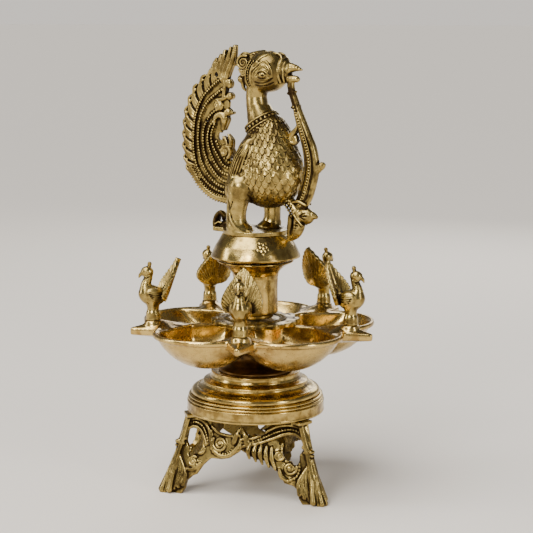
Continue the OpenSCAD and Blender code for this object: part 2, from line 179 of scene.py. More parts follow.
class Field:
    """Distance to a solid on a regular grid, in millimetres, negative inside."""

    def __init__(self, low, high, step):
        self.step = step
        self.low = np.array(low, float)
        counts = np.ceil((np.array(high, float) - self.low) / step).astype(int) + 1
        self.values = np.full(counts, FAR, np.float32)

    def block(self, low, high, reach):
        """The part of the grid within reach of a box: its slices and coordinates."""
        first = np.floor((np.asarray(low) - reach - self.low) / self.step).astype(int)
        last = np.ceil((np.asarray(high) + reach - self.low) / self.step).astype(int) + 1
        first, last = np.maximum(first, 0), np.minimum(last, self.values.shape)
        if np.any(first >= last):
            return None
        slices = tuple(slice(a, b) for a, b in zip(first, last))
        axes = [self.low[k] + self.step * np.arange(first[k], last[k]) for k in range(3)]
        return slices, np.ix_(*axes)

    def merge(self, slices, distance, blend, cut):
        old = self.values[slices]
        if cut:
            self.values[slices] = -soft_min(-old, distance, blend)
        else:
            self.values[slices] = soft_min(old, distance, blend)

    def everywhere(self):
        """Slices and coordinates of the whole grid."""
        return self.block(self.low, self.low + self.step * np.array(self.values.shape), 0)

    def ball(self, centre, radii, blend=0.6, turn=None, cut=False):
        """A ball or an ellipsoid, which turn rotates."""
        r = np.broadcast_to(np.asarray(radii, float), (3,))
        half = r if turn is None else np.full(3, r.max())
        c = np.asarray(centre, float)
        found = self.block(c - half, c + half, 3 + blend)
        if found is None:
            return
        slices, (x, y, z) = found
        p = [x - c[0], y - c[1], z - c[2]]
        if turn is not None:
            p = [sum(turn[j, k] * p[j] for j in range(3)) for k in range(3)]
        if np.ptp(r) < 1e-9:
            d = np.sqrt(p[0] ** 2 + p[1] ** 2 + p[2] ** 2) - r[0]
        else:
            k0 = np.sqrt(sum((p[k] / r[k]) ** 2 for k in range(3)))
            k1 = np.sqrt(sum((p[k] / r[k] ** 2) ** 2 for k in range(3))) + 1e-6
            d = k0 * (k0 - 1) / k1
        self.merge(slices, d, blend, cut)

    def tube(self, points, radii, blend=0.5, flat=(1, 1, 1), cut=False, straight=False):
        """A rounded tube along a smooth line; flat squashes its section along the axes."""
        radii = np.atleast_1d(np.asarray(radii, float))
        f = np.asarray(flat, float)
        if straight:
            path = np.asarray(points, float)
            r = np.broadcast_to(radii, len(path)) if len(radii) == 1 else radii
        else:
            spacing = max(1.1, 0.6 * float(radii.mean()))
            count = max(3, int(path_length(points) / spacing) + 2)
            path, r = smooth_path(points, count, radii if len(radii) > 1 else radii[[0, 0]])
        reach = 3 + blend + r.max()
        found = self.block(path.min(0), path.max(0), reach)
        if found is None:
            return
        slices, _ = found
        first = np.array([s.start for s in slices])
        d = np.full(self.values[slices].shape, FAR, np.float32)
        for a, b, ra, rb in zip(path[:-1], path[1:], r[:-1], r[1:]):
            near = self.block(np.minimum(a, b), np.maximum(a, b), reach)
            if near is None:
                continue
            part, (x, y, z) = near
            local = tuple(slice(s.start - o, s.stop - o) for s, o in zip(part, first))
            q = [(x - a[0]) / f[0], (y - a[1]) / f[1], (z - a[2]) / f[2]]
            e = (b - a) / f
            t = np.clip((q[0] * e[0] + q[1] * e[1] + q[2] * e[2]) / max(e @ e, 1e-9), 0, 1)
            gap = np.sqrt(sum((q[k] - e[k] * t) ** 2 for k in range(3)))
            d[local] = np.minimum(d[local], (gap - (ra + (rb - ra) * t)) * f.min() ** 0.5)
        self.merge(slices, d, blend, cut)

    def beads(self, points, spacing, radius, blend=0.3):
        """A row of small balls along a smooth line."""
        count = max(2, int(path_length(points) / spacing) + 1)
        for p in smooth_path(points, count):
            self.ball(p, radius, blend)

    def plate(self, outline, axes, near, far, blend=0.6, cut=False, soft=0.6):
        """A flat plate: an outline in two axes, between near and far along the third."""
        u, v = axes
        w = 3 - u - v
        o = np.asarray(outline, float)
        low, high = np.zeros(3), np.zeros(3)
        low[[u, v]], high[[u, v]] = o.min(0), o.max(0)
        low[w], high[w] = near, far
        found = self.block(low, high, 3 + blend)
        if found is None:
            return
        slices, grid = found
        d2 = outline_distance(grid[u], grid[v], o) + soft
        dw = np.abs(grid[w] - (near + far) / 2) - (far - near) / 2 + soft
        out = np.sqrt(np.maximum(d2, 0) ** 2 + np.maximum(dw, 0) ** 2)
        self.merge(slices, out + np.minimum(np.maximum(d2, dw), 0) - soft, blend, cut)

    def sample(self, points):
        """The distance at any points, from the grid values round them."""
        g = (points - self.low) / self.step
        top = np.array(self.values.shape) - 1.001
        g = np.clip(g, 0, top)
        i = g.astype(int)
        f = g - i
        total = np.zeros(len(points))
        for corner in range(8):
            o = np.array([corner & 1, corner >> 1 & 1, corner >> 2 & 1])
            weight = np.prod(np.where(o, f, 1 - f), axis=1)
            j = i + o
            total += weight * self.values[j[:, 0], j[:, 1], j[:, 2]]
        return total

    def slopes(self, points):
        h = 0.6 * self.step
        g = np.column_stack(
            [self.sample(points + h * e) - self.sample(points - h * e) for e in np.eye(3)]
        )
        return g / (np.linalg.norm(g, axis=1)[:, None] + 1e-9)

    def surface(self):
        """Points and quads where the distance is zero, by surface nets."""
        v = self.values
        v[[0, -1]] = v[:, [0, -1]] = v[:, :, [0, -1]] = FAR
        s = v < 0
        n = np.array(v.shape) - 1
        corners = [np.array([c & 1, c >> 1 & 1, c >> 2 & 1]) for c in range(8)]
        count = np.zeros(n, np.uint8)
        for o in corners:
            count += s[o[0] : o[0] + n[0], o[1] : o[1] + n[1], o[2] : o[2] + n[2]]
        active = (count > 0) & (count < 8)
        cells = np.argwhere(active)
        ids = np.full(n, -1, np.int32)
        ids[active] = np.arange(len(cells))
        at = [v[tuple((cells + o).T)] for o in corners]
        total, hits = np.zeros((len(cells), 3)), np.zeros(len(cells))
        for a in range(8):
            for k in range(3):
                b = a | 1 << k
                if b == a:
                    continue
                crosses = (at[a] < 0) != (at[b] < 0)
                t = np.where(crosses, at[a] / np.where(crosses, at[a] - at[b], 1), 0)
                point = corners[a] + t[:, None] * (corners[b] - corners[a])
                total += crosses[:, None] * point
                hits += crosses
        points = self.low + self.step * (cells + total / hits[:, None])
        quads = []
        for k in range(3):
            a, b = (k + 1) % 3, (k + 2) % 3
            lead = np.take(s, range(n[k]), axis=k)
            tail = np.take(s, range(1, n[k] + 1), axis=k)
            edges = np.argwhere(lead != tail)
            edges = edges[
                (edges[:, a] > 0) & (edges[:, b] > 0) & (edges[:, a] < n[a]) & (edges[:, b] < n[b])
            ]
            ring = []
            for da, db in ((-1, -1), (0, -1), (0, 0), (-1, 0)):
                e = edges.copy()
                e[:, a] += da
                e[:, b] += db
                ring.append(ids[tuple(e.T)])
            quad = np.column_stack(ring)
            inside = lead[tuple(edges.T)]
            quad[~inside] = quad[~inside][:, ::-1]
            quads.append(quad)
        return points, np.vstack(quads)

    def mesh(self):
        """Points, quads, and how hollow and how raised the surface is at each point."""
        points, quads = self.surface()
        points = points - self.sample(points)[:, None] * self.slopes(points) * 0.8
        normal = self.slopes(points)
        # hollow works like ambient occlusion: how closely solid surrounds each point; the brass darkens by it as
        # tarnish and painted shade
        hollow = np.zeros(len(points))
        for reach in (0.8, 1.7, 3.4):
            gap = self.sample(points + reach * normal)
            hollow += np.clip((reach - gap) / reach, 0, 1) / 3
        raised = np.clip((self.sample(points - 1.6 * normal) + 1.6) / 1.6, 0, 1)
        return points, quads, hollow, raised


# ---------------------------------------------------------------- objects


def mesh_data(name, mesh):
    """Mesh data in metres from points in millimetres, quads and the two surface measures."""
    points, quads, hollow, raised = mesh
    data = bpy.data.meshes.new(name)
    data.vertices.add(len(points))
    data.vertices.foreach_set("co", (points * MM).astype(np.float32).ravel())
    data.loops.add(quads.size)
    data.loops.foreach_set("vertex_index", quads.astype(np.int32).ravel())
    data.polygons.add(len(quads))
    data.polygons.foreach_set("loop_start", np.arange(0, quads.size, 4, dtype=np.int32))
    data.polygons.foreach_set("use_smooth", np.ones(len(quads), bool))
    for label, values in (("hollow", hollow), ("raised", raised)):
        layer = data.attributes.new(label, "FLOAT", "POINT")
        layer.data.foreach_set("value", values.astype(np.float32))
    data.update(calc_edges=True)
    data.validate()
    return data


def place(data, name, body, finish, replaces=(), turn=0.0, at=(0, 0, 0)):
    """Makes a piece of the data, turned about Z and moved, and lets it ride on its body."""
    piece = bpy.data.objects.new(name, data)
    bpy.context.scene.collection.objects.link(piece)
    piece.rotation_euler = (0, 0, turn)
    piece.location = [c * MM for c in at]
    if not data.materials:
        data.materials.append(finish)
    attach(piece, body)
    if replaces:
        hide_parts(*replaces)


def add_object(name, mesh, body, finish, replaces=()):
    """Makes a piece that stands where its points are."""
    place(mesh_data(name, mesh), name, body, finish, replaces)


def lathe(profile, segments=256, corner=0.5, step=0.4, relief=None):
    """A closed profile of (radius, height) points turned about Z, with softened corners.

    relief(angle, radius, height) gives extra outward millimetres at each point.
    """
    p = np.asarray(profile, float)
    loop = np.vstack([p, p[:1]])
    length = np.r_[0, np.cumsum(np.linalg.norm(np.diff(loop, axis=0), axis=1))]
    count = int(length[-1] / step)
    at = np.linspace(0, length[-1], count, endpoint=False)
    line = np.column_stack([np.interp(at, length, loop[:, k]) for k in range(2)])

    def blurred(width):
        k = np.arange(-int(3 * width / step) - 1, int(3 * width / step) + 2)
        w = np.exp(-((k * step / width) ** 2) / 2)
        w /= w.sum()
        return sum(wi * np.roll(line, -ki, axis=0) for wi, ki in zip(w, k))

    soft = blurred(corner)
    area = np.sum(soft[:, 0] * np.roll(soft[:, 1], -1) - np.roll(soft[:, 0], -1) * soft[:, 1])
    tangent = np.roll(soft, -1, axis=0) - np.roll(soft, 1, axis=0)
    tangent /= np.linalg.norm(tangent, axis=1)[:, None] + 1e-9
    normal = np.column_stack([tangent[:, 1], -tangent[:, 0]]) * np.sign(area)
    # hollow marks concave turns of the profile and punched dents, where the brass is painted darker as tarnish and
    # painted shade
    bulge = np.einsum("ij,ij->i", blurred(1.6) - soft, normal)
    hollow = np.clip(bulge * 1.2, 0, 1)
    raised = np.clip(-bulge * 1.6, 0, 1)
    angle = np.linspace(0, math.tau, segments, endpoint=False)
    r = np.repeat(soft[:, 0][:, None], segments, axis=1)
    z = np.repeat(soft[:, 1][:, None], segments, axis=1)
    if relief is not None:
        extra = relief(angle[None, :], r, z)
        r = r + extra * normal[:, 0][:, None]
        z = z + extra * normal[:, 1][:, None]
        deep = np.clip(-extra * 2.2 - 0.35, 0, 1)
    else:
        deep = np.zeros_like(r)
    points = np.stack([r * np.cos(angle), r * np.sin(angle), z], axis=-1).reshape(-1, 3)
    i, j = np.meshgrid(np.arange(count), np.arange(segments), indexing="ij")
    i2, j2 = (i + 1) % count, (j + 1) % segments
    ring = [i * segments + j, i * segments + j2, i2 * segments + j2, i2 * segments + j]
    quads = np.stack([q.ravel() for q in ring], axis=1)
    if area < 0:
        quads = quads[:, ::-1]
    hollow = np.maximum(np.repeat(hollow, segments), deep.ravel())
    return points, quads, hollow, np.repeat(raised, segments)


def handmade(amount, seed):
    """Slight waviness of a cast and hand-filed surface."""
    rng = np.random.default_rng(seed)
    waves = [
        (rng.integers(2, 7), rng.uniform(0, math.tau), rng.uniform(0.05, 0.35)) for _ in range(6)
    ]

    def relief(angle, r, z):
        total = 0
        for turns, phase, pitch in waves:
            total = total + np.sin(turns * angle + phase + pitch * z)
        return amount * total / len(waves)

    return relief


# ---------------------------------------------------------------- materials


def brass(name, bright, dull, patina_and_shade, rough, patina_and_shade_range, dents, pits, streaks=0.0):
    """Brass with tarnish: bright where rubbed, dark in recesses (partly real tarnish, partly painted shade),
    uneven, pitted and dented.

    The argument after the roughness is the span of hollowness over which the dark colour comes in: tarnish and
    painted shade together.
    """
    finish = bpy.data.materials.new(name)
    finish.use_nodes = True
    tree = finish.node_tree
    nodes, links = tree.nodes, tree.links
    shader = nodes["Principled BSDF"]
    shader.inputs["Metallic"].default_value = 1.0

    def node(kind, **settings):
        made = nodes.new(kind)
        for key, value in settings.items():
            setattr(made, key, value)
        return made

    def noise(scale, detail, vector):
        made = node("ShaderNodeTexNoise")
        made.inputs["Scale"].default_value = scale
        made.inputs["Detail"].default_value = detail
        links.new(vector, made.inputs["Vector"])
        return made.outputs["Fac"]

    def spread(value, low, high, to_low=0.0, to_high=1.0):
        made = node("ShaderNodeMapRange", interpolation_type="SMOOTHSTEP")
        links.new(value, made.inputs["Value"])
        for label, number in (
            ("From Min", low),
            ("From Max", high),
            ("To Min", to_low),
            ("To Max", to_high),
        ):
            made.inputs[label].default_value = number
        return made.outputs["Result"]

    def maths(kind, a, b):
        made = node("ShaderNodeMath", operation=kind)
        made.use_clamp = kind != "MULTIPLY_ADD"
        for socket, value in zip(made.inputs, (a, b)):
            if isinstance(value, (int, float)):
                socket.default_value = value
            else:
                links.new(value, socket)
        return made.outputs["Value"]

    def mix(factor, a, b):
        made = node("ShaderNodeMix", data_type="RGBA")
        links.new(factor, made.inputs["Factor"])
        for label, value in (("A", a), ("B", b)):
            socket = [s for s in made.inputs if s.name == label and s.type == "RGBA"][0]
            if isinstance(value, tuple):
                socket.default_value = (*value, 1)
            else:
                links.new(value, socket)
        return [s for s in made.outputs if s.type == "RGBA"][0]

    place_in = node("ShaderNodeTexCoord").outputs["Object"]
    hollow = node("ShaderNodeAttribute", attribute_name="hollow").outputs["Fac"]
    raised = node("ShaderNodeAttribute", attribute_name="raised").outputs["Fac"]
    clouds = noise(55, 5, place_in)
    grain = noise(700, 4, place_in)
    blotch = noise(190, 6, place_in)
    tarnish = spread(maths("ADD", maths("MULTIPLY", clouds, 0.6), maths("MULTIPLY", blotch, 0.4)), 0.42, 0.60)
    body = mix(tarnish, bright, dull)
    # painted shade: recesses, found by the occlusion-like hollow measure, are darkened towards the dark colour on
    # top of real tarnish there
    shifted = maths("ADD", hollow, maths("MULTIPLY", maths("SUBTRACT", blotch, 0.42), 0.55))
    dark = spread(shifted, *patina_and_shade_range)
    cells = node("ShaderNodeTexVoronoi")
    cells.inputs["Scale"].default_value = 330
    links.new(place_in, cells.inputs["Vector"])
    holes = spread(cells.outputs["Distance"], 0.10, 0.26, 1.0, 0.0)
    here = spread(noise(120, 3, place_in), 0.52, 0.66)
    pit = maths("MULTIPLY", maths("MULTIPLY", holes, here), pits)
    rubbed = spread(raised, 0.25, 0.9, 0.0, 0.75)
    polished = mix(rubbed, body, bright)
    aged_and_shaded = mix(dark, polished, patina_and_shade)
    links.new(mix(pit, aged_and_shaded, patina_and_shade), shader.inputs["Base Color"])
    low, high = rough
    sheen = spread(blotch, 0.35, 0.65, low, (low + high) / 2)
    shine = node("ShaderNodeMix", data_type="FLOAT")
    links.new(maths("MAXIMUM", dark, pit), shine.inputs["Factor"])
    links.new(sheen, shine.inputs["A"])
    shine.inputs["B"].default_value = high
    links.new(shine.outputs["Result"], shader.inputs["Roughness"])
    height = maths("ADD", maths("MULTIPLY", grain, 0.25), maths("MULTIPLY", blotch, 0.5))
    if streaks:
        lines = node("ShaderNodeTexWave", bands_direction="Z")
        lines.inputs["Scale"].default_value = 420
        lines.inputs["Distortion"].default_value = 2.5
        lines.inputs["Detail"].default_value = 2
        links.new(place_in, lines.inputs["Vector"])
        height = maths("ADD", height, maths("MULTIPLY", lines.outputs["Fac"], streaks))
    height = maths("SUBTRACT", height, maths("MULTIPLY", pit, 0.4))
    bump = node("ShaderNodeBump")
    bump.inputs["Strength"].default_value = dents
    bump.inputs["Distance"].default_value = 0.0006
    links.new(height, bump.inputs["Height"])
    links.new(bump.outputs["Normal"], shader.inputs["Normal"])
    return finish


def steel(name):
    """Plain zinc-coated steel of the nuts, screws and rod, slightly dirty."""
    finish = bpy.data.materials.new(name)
    finish.use_nodes = True
    tree = finish.node_tree
    shader = tree.nodes["Principled BSDF"]
    shader.inputs["Metallic"].default_value = 1.0
    where = tree.nodes.new("ShaderNodeTexCoord")
    dirt = tree.nodes.new("ShaderNodeTexNoise")
    dirt.inputs["Scale"].default_value = 260
    dirt.inputs["Detail"].default_value = 5
    ramp = tree.nodes.new("ShaderNodeValToRGB")
    ramp.color_ramp.elements[0].color = (0.16, 0.14, 0.12, 1)
    ramp.color_ramp.elements[1].color = (0.52, 0.51, 0.49, 1)
    dull = tree.nodes.new("ShaderNodeMapRange")
    dull.inputs["To Min"].default_value = 0.55
    dull.inputs["To Max"].default_value = 0.3
    tree.links.new(where.outputs["Object"], dirt.inputs["Vector"])
    tree.links.new(dirt.outputs["Fac"], ramp.inputs["Fac"])
    tree.links.new(dirt.outputs["Fac"], dull.inputs["Value"])
    tree.links.new(ramp.outputs["Color"], shader.inputs["Base Color"])
    tree.links.new(dull.outputs["Result"], shader.inputs["Roughness"])
    return finish


BROWN = (0.030, 0.017, 0.006)
POLISHED = brass(
    "polished_brass", (0.52, 0.37, 0.115), (0.22, 0.14, 0.038), BROWN,
    rough=(0.15, 0.42), patina_and_shade_range=(0.22, 0.62), dents=0.16, pits=0.5, streaks=0.12,
)
TRAY_BRASS = brass(
    "tray_brass", (0.60, 0.42, 0.135), (0.33, 0.205, 0.058), BROWN,
    rough=(0.18, 0.42), patina_and_shade_range=(0.36, 0.85), dents=0.22, pits=0.95,
)
ANTIQUE = brass(
    "antique_brass", (0.41, 0.295, 0.09), (0.155, 0.105, 0.032), BROWN,
    rough=(0.22, 0.5), patina_and_shade_range=(0.12, 0.40), dents=0.3, pits=0.4,
)
SMALL = brass(
    "small_peacock_brass", (0.44, 0.32, 0.10), (0.19, 0.125, 0.036), BROWN,
    rough=(0.2, 0.48), patina_and_shade_range=(0.12, 0.42), dents=0.25, pits=0.4,
)
# painted shade: the lower stem sits in the shadow under the tray, so its brass is painted almost black
SHADED_STEM_BRASS = brass(
    "dark_brass", (0.16, 0.09, 0.03), (0.07, 0.038, 0.014), (0.012, 0.008, 0.004),
    rough=(0.35, 0.6), patina_and_shade_range=(0.2, 0.6), dents=0.3, pits=0.4,
)
STEEL = steel("steel_fastener")


# ---------------------------------------------------------------- stand


PANEL_ANGLE = 47.5  # each panel opens out at this angle from its leg's direction
FOOT_R = 74.0
LEG_TOP_R = 53.0
LEG_SLOPE = math.atan2(FOOT_R - LEG_TOP_R, PLINTH_Z)
SLOPE_ALONG = math.sin(LEG_SLOPE) * math.sin(math.radians(PANEL_ANGLE))
SLOPE_ACROSS = math.sin(LEG_SLOPE) * math.cos(math.radians(PANEL_ANGLE))
PANEL_LEAN = math.degrees(math.asin(SLOPE_ACROSS / math.sqrt(1 - SLOPE_ALONG**2)))
PANEL_TURN = turn_about(2, 90 + PANEL_ANGLE) @ turn_about(0, 90 - PANEL_LEAN)
IN_PANEL = ((1, 0, 0), (0, 1, 0))


def on_face(points, height=0.0):
    """Points of a panel's (along, up) lifted to a height above its outer face."""
    return [(u, w, height) for u, w in points]


def half_side(arched):
    """One pierced panel in its own axes: X along the side, Y up the slope, Z outwards."""
    f = Field((-9, -3, -6.5), (66, 67, 4.5), 0.45)
    foot = [
        (-3, 0), (15, 0), (18, 5), (19, 11), (24, 16), (26, 21), (21, 32), (15, 42), (16, 64),
        (12, 64), (8, 42),
    ]
    f.plate(foot, (0, 1), -4.2, -0.8)
    if arched:
        band = [
            (12, 40), (14, 50), (24, 54.5), (37, 51), (52, 46), (63.5, 41), (63.5, 53),
            (58, 52), (53, 53), (47, 58), (40, 63.5), (12, 64),
        ]
        low_edge = [
            (21, 14), (29, 16), (33, 24), (37.5, 27), (44, 33), (52, 34), (63.5, 41), (63.5, 50),
            (52, 50), (36, 50), (32, 45), (31.5, 36), (24, 32), (19, 28),
        ]
    else:
        band = [
            (12, 42), (15, 52), (21, 54), (29, 51), (33, 43), (44, 37), (54, 35), (63.5, 42),
            (63.5, 52), (56, 50), (50, 49), (43, 50), (38, 54.5), (34, 64), (12, 64),
        ]
        low_edge = [
            (17, 13), (27, 17), (32, 25), (38, 31), (48, 31.5), (54, 33), (63.5, 40), (60, 48),
            (40, 47), (33, 46), (31, 36), (22, 30), (17, 26),
        ]
    f.plate(band, (0, 1), -4.0, -1.0)
    f.plate(low_edge, (0, 1), -4.0, -1.0)

    # the two bands of the leg meet in a knot; below it a palmette spreads to the foot
    f.tube(on_face([(9.8, 41), (12.3, 51), (15.6, 64)], -1.8), [2.4, 1.7, 2.0], 0.8)
    for k in range(6):
        tip = np.array([-2.4 + 3.9 * k, 1.8 + 0.42 * k**1.7])
        root = np.array([9.6 + 0.25 * k, 38 - 1.4 * k])
        bend = (root + tip) / 2 + (0.4 + 0.75 * k, -0.5 * k)
        f.tube(on_face([root, bend, tip], 0.2), [0.8, 1.4, 2.1], 0.2)
        f.tube(on_face([(root + bend) / 2, bend, tip], 2.1), [0.3, 0.45, 0.5], 0.15, cut=True)
    f.tube(on_face([(7.6, 40.4), (11, 41.6), (15, 43.6)], 0.6), [1.5, 1.7, 1.4], 0.3)
    f.tube(on_face([(7.2, 37.4), (10.6, 38.4), (14.2, 39.6)], 0.5), [1.1, 1.3, 1.0], 0.3)

    # arched double band with a row of beads, over the oval opening
    if arched:
        inner = [(13, 40), (14.5, 48), (20, 53), (28, 53.8), (37, 50.5), (48, 46.5), (58, 44), (64, 43.5)]
        outer = [(12.5, 50), (17, 57.5), (25.5, 60.3), (36, 59), (45, 54), (53, 50), (64, 48.5)]
        middle = [(13, 46), (17, 54), (25, 57), (35, 55), (44, 51), (54, 47), (64, 46)]
    else:
        inner = [(12.5, 41), (15, 50), (20, 53.5), (27, 52), (31.5, 46), (33.5, 41)]
        outer = [(12, 48), (15.5, 56.5), (22, 60), (30, 58), (35.5, 52), (37.5, 44), (41, 38)]
        middle = [(12.5, 45), (16, 54), (22, 57), (28.5, 55), (33, 49), (35.5, 42)]
    f.tube(on_face(inner, -0.6), 1.45, 0.4)
    f.tube(on_face(outer, -0.5), 1.45, 0.4)
    f.beads(on_face(middle, -0.4), 2.1, 1.15)

    # scrolls on the inner edge of the opening
    if arched:
        scrolls = [((33.2, 37.2), 4.8, 1.8, 120), ((24.8, 27.6), 6.2, 2.2, 60)]
    else:
        scrolls = [((29.6, 37.4), 5.0, 1.9, 120), ((23.6, 26.4), 4.6, 1.9, 60), ((46, 43.2), 6.6, 2.3, 150)]
    for (u, w), radius, turns, start in scrolls:
        f.ball((u, w, -2.4), (radius + 0.9, radius + 0.9, 2.2), 0.6)
        f.tube(spiral((u, w, -0.3), radius, turns, start, *IN_PANEL), [1.3, 1.1, 0.9], 0.3)
        f.ball((u, w, -0.2), 1.3, 0.3)
    f.tube(on_face([(22, 33), (28, 35.5), (31, 41), (31, 46)], -0.8), [1.6, 1.4, 1.2], 0.5)

    if arched:
        # acanthus leaves that hang from the arch
        for k in range(5):
            root = np.array([55 - 4.0 * k, 45.5 - 0.6 * k])
            tip = np.array([56 - 5.0 * k, 34.5 - 2.0 * k])
            bend = (root + tip) / 2 + (1.6, 0.4)
            f.tube(on_face([root, bend, tip], -0.4), [1.3, 2.2, 1.0], 0.35)
            f.tube(on_face([root, bend, tip], 1.9), [0.35, 0.5, 0.3], 0.2, cut=True)
        f.beads(on_face([(19.5, 36), (17.5, 28), (20, 21), (26, 18)], -0.6), 2.3, 1.4)
        f.tube(on_face([(33, 26), (31, 21), (26, 18)], -1.0), [1.6, 2.0, 1.4], 0.4)
    else:
        # S-shaped scroll with a ribbed belly under it
        belly = [(37, 52), (38, 44), (41, 37.5), (48, 34), (56, 36), (61, 42), (64, 46)]
        back = [(37.5, 55.5), (43, 51.5), (50, 50.5), (57, 50.5), (64, 52)]
        f.tube(on_face(belly, -0.5), [1.6, 1.6, 1.8, 1.5, 1.3], 0.4)
        f.tube(on_face(back, -0.7), [1.4, 1.2, 1.3], 0.4)
        for k in range(9):
            angle = math.radians(205 + 17 * k)
            out = np.array([math.cos(angle), 0.75 * math.sin(angle)])
            centre = np.array([49, 42])
            rib = [centre + 7.6 * out, centre + 11.6 * out]
            f.tube(on_face(rib, -0.3), [0.7, 1.0], 0.25, straight=True)
        f.tube(on_face([(18, 20), (24, 20.5), (30, 26)], -1.0), [1.6, 1.9, 1.5], 0.4)

    # pointed bud at the middle of the side
    f.tube(on_face([(58, 46), (59.5, 52), (61.5, 57.5)], -1.2), [2.6, 2.4, 0.7], 0.6)
    f.tube(on_face([(63.8, 43), (63.8, 50)], -1.2), [2.4, 1.6], 0.5)

    # openings
    f.ball((24.6, 40.6, -2), (6.2, 7.6, 9), 0.5, cut=True)
    f.ball((20.6, 34.8, -2), (2.8, 5.0, 9), 1.2, cut=True)
    f.ball((48.5, 54.5, -2), (4.5, 2.4, 9), 0.6, cut=True)
    return f


def leg_mesh():
    """A leg with its two panels, in its own axes: it stands out along +X from the lamp's axis."""
    sides = [(half_side(False), 1), (half_side(True), -1)]
    f = Field((14, -62, -1), (81, 62, PLINTH_Z + 1), 0.55)
    slices, (x, y, z) = f.everywhere()
    shape = f.values.shape
    points = np.stack([np.broadcast_to(a, shape).ravel() for a in (x, y, z)], axis=1)
    for side, way in sides:
        local = (points * (1, way, 1) - (FOOT_R, 0, 0)) @ PANEL_TURN
        top = side.low + side.step * (np.array(side.values.shape) - 1)
        near = np.all((local > side.low) & (local < top), axis=1)
        d = np.full(len(points), FAR, np.float32)
        d[near] = side.sample(local[near])
        f.values[slices] = soft_min(f.values[slices], d.reshape(shape), 0.6)
    lean = math.tan(LEG_SLOPE)
    f.tube([(FOOT_R - 6, 0, 2), (FOOT_R - 5 - 24 * lean, 0, 26)], [4.6, 2.2], 1.5)
    marks = ((1.6, 0.6, 41), (1.6, 2.2, 21), (2.4, 4.2, 3))  # inwards, sideways and up, for one rib
    for k in (-1.5, -0.5, 0.5, 1.5):
        rib = [(FOOT_R - inwards - up * lean, wide * k, up) for inwards, wide, up in marks]
        f.tube(rib, [0.9, 1.5, 2.5], 0.2)
    f.plate([(30, -7), (56, -7), (56, 7), (30, 7)], (0, 1), PLINTH_Z - 3, PLINTH_Z - 0.2, 1.0)
    wedge = np.abs(y) * math.cos(LEG_STEP / 2) - x * math.sin(LEG_STEP / 2)
    inside = np.maximum(np.maximum(wedge, 0.05 - z), z - (PLINTH_Z - 0.05))
    f.values[slices] = np.maximum(f.values[slices], inside)
    return f.mesh()


def build_stand():
    data = mesh_data("stand_leg_casting", leg_mesh())
    for node, turn in FOOT_TURNS.items():
        place(data, node + "_casting", "stand", ANTIQUE, [node], turn)


# ---------------------------------------------------------------- turned parts


def build_plinth():
    z = PLINTH_Z
    outside = [
        (53.6, z), (54.0, z + 1.2), (53.6, z + 2.2), (53.6, z + 7.6), (53.9, z + 8.4), (53.0, z + 9.2),
    ]
    for radius, height, bead in ((52.4, 10.2, 1.2), (51.9, 12.6, 1.0)):
        for k in range(5):
            angle = math.radians(-80 + 40 * k)
            outside.append((radius + bead * math.cos(angle) - 0.3, z + height + bead * math.sin(angle)))
        outside.append((radius - 1.6, z + height + bead + 0.15))
    for k in range(9):
        angle = math.radians(-50 + 18 * k)
        outside.append((46.0 + 4.4 * math.cos(angle), z + 15.2 + 4.0 * math.sin(angle)))
    outside += [
        (44.6, z + 19.0), (42.4, z + 20.2), (41.0, z + 21.8), (40.7, z + 22.9), (41.1, z + 23.5),
        (40.9, z + 24.4), (38.6, z + 24.9), (36.4, z + 25.7), (35.2, z + 26.4), (35.4, z + 26.9),
        (34.6, z + 28.2), (34.6, z + 30.4), (35.1, z + 31.2), (34.4, PLINTH_TOP),
    ]
    inside = [
        (8, PLINTH_TOP), (8, z + 25), (30, z + 25), (36, z + 20), (44, z + 15), (50.5, z + 11), (50.6, z),
    ]
    mesh = lathe(outside + inside, 320, 0.42, 0.38, handmade(0.22, 3))
    add_object("plinth_turning", mesh, "stand", POLISHED, ["plinth"])


def build_stem():
    z = PLINTH_TOP
    profile = [
        (3.1, z - 12), (7.9, z - 12), (7.9, z), (29, z), (28.6, z + 1.6), (26, z + 2.8), (20.5, z + 5),
        (17, z + 8.4), (15.9, z + 11), (16.6, z + 14), (19.2, z + 16.6), (20, STEM_TOP), (3.1, STEM_TOP),
    ]
    mesh = lathe(profile, 192, 0.5, 0.5, handmade(0.25, 5))
    # the stem's brass is painted near black as the shade under the tray
    add_object("lower_stem_turning", mesh, "stand", SHADED_STEM_BRASS, ["lower_stem"])


def build_column():
    z = COLUMN_Z
    profile = [
        (3.1, z), (14, z), (14, z + 3.2), (17.0, z + 3.5), (17.4, z + 4.4), (17.2, z + 18),
        (17.3, z + 31), (17.9, z + 34.2), (19.4, z + 37), (22, z + 39.4), (25.4, z + 41.6), (28.4, z + 43.2),
        (29.8, z + 44.0), (29.4, COLUMN_TOP - 0.3), (26.8, COLUMN_TOP - 0.3), (21.5, z + 42), (16.3, z + 38),
        (13.8, z + 33), (13.8, z + 7.5), (3.1, z + 7.5),
    ]
    mesh = lathe(profile, 256, 0.5, 0.45, handmade(0.16, 8))
    add_object("column_turning", mesh, "column", POLISHED, ["column"])


CAP_MARK_TURN = -50.0  # direction of the punched flower, counted from +X
CAP_MARK_Z = 12.6  # its height above the cap's underside


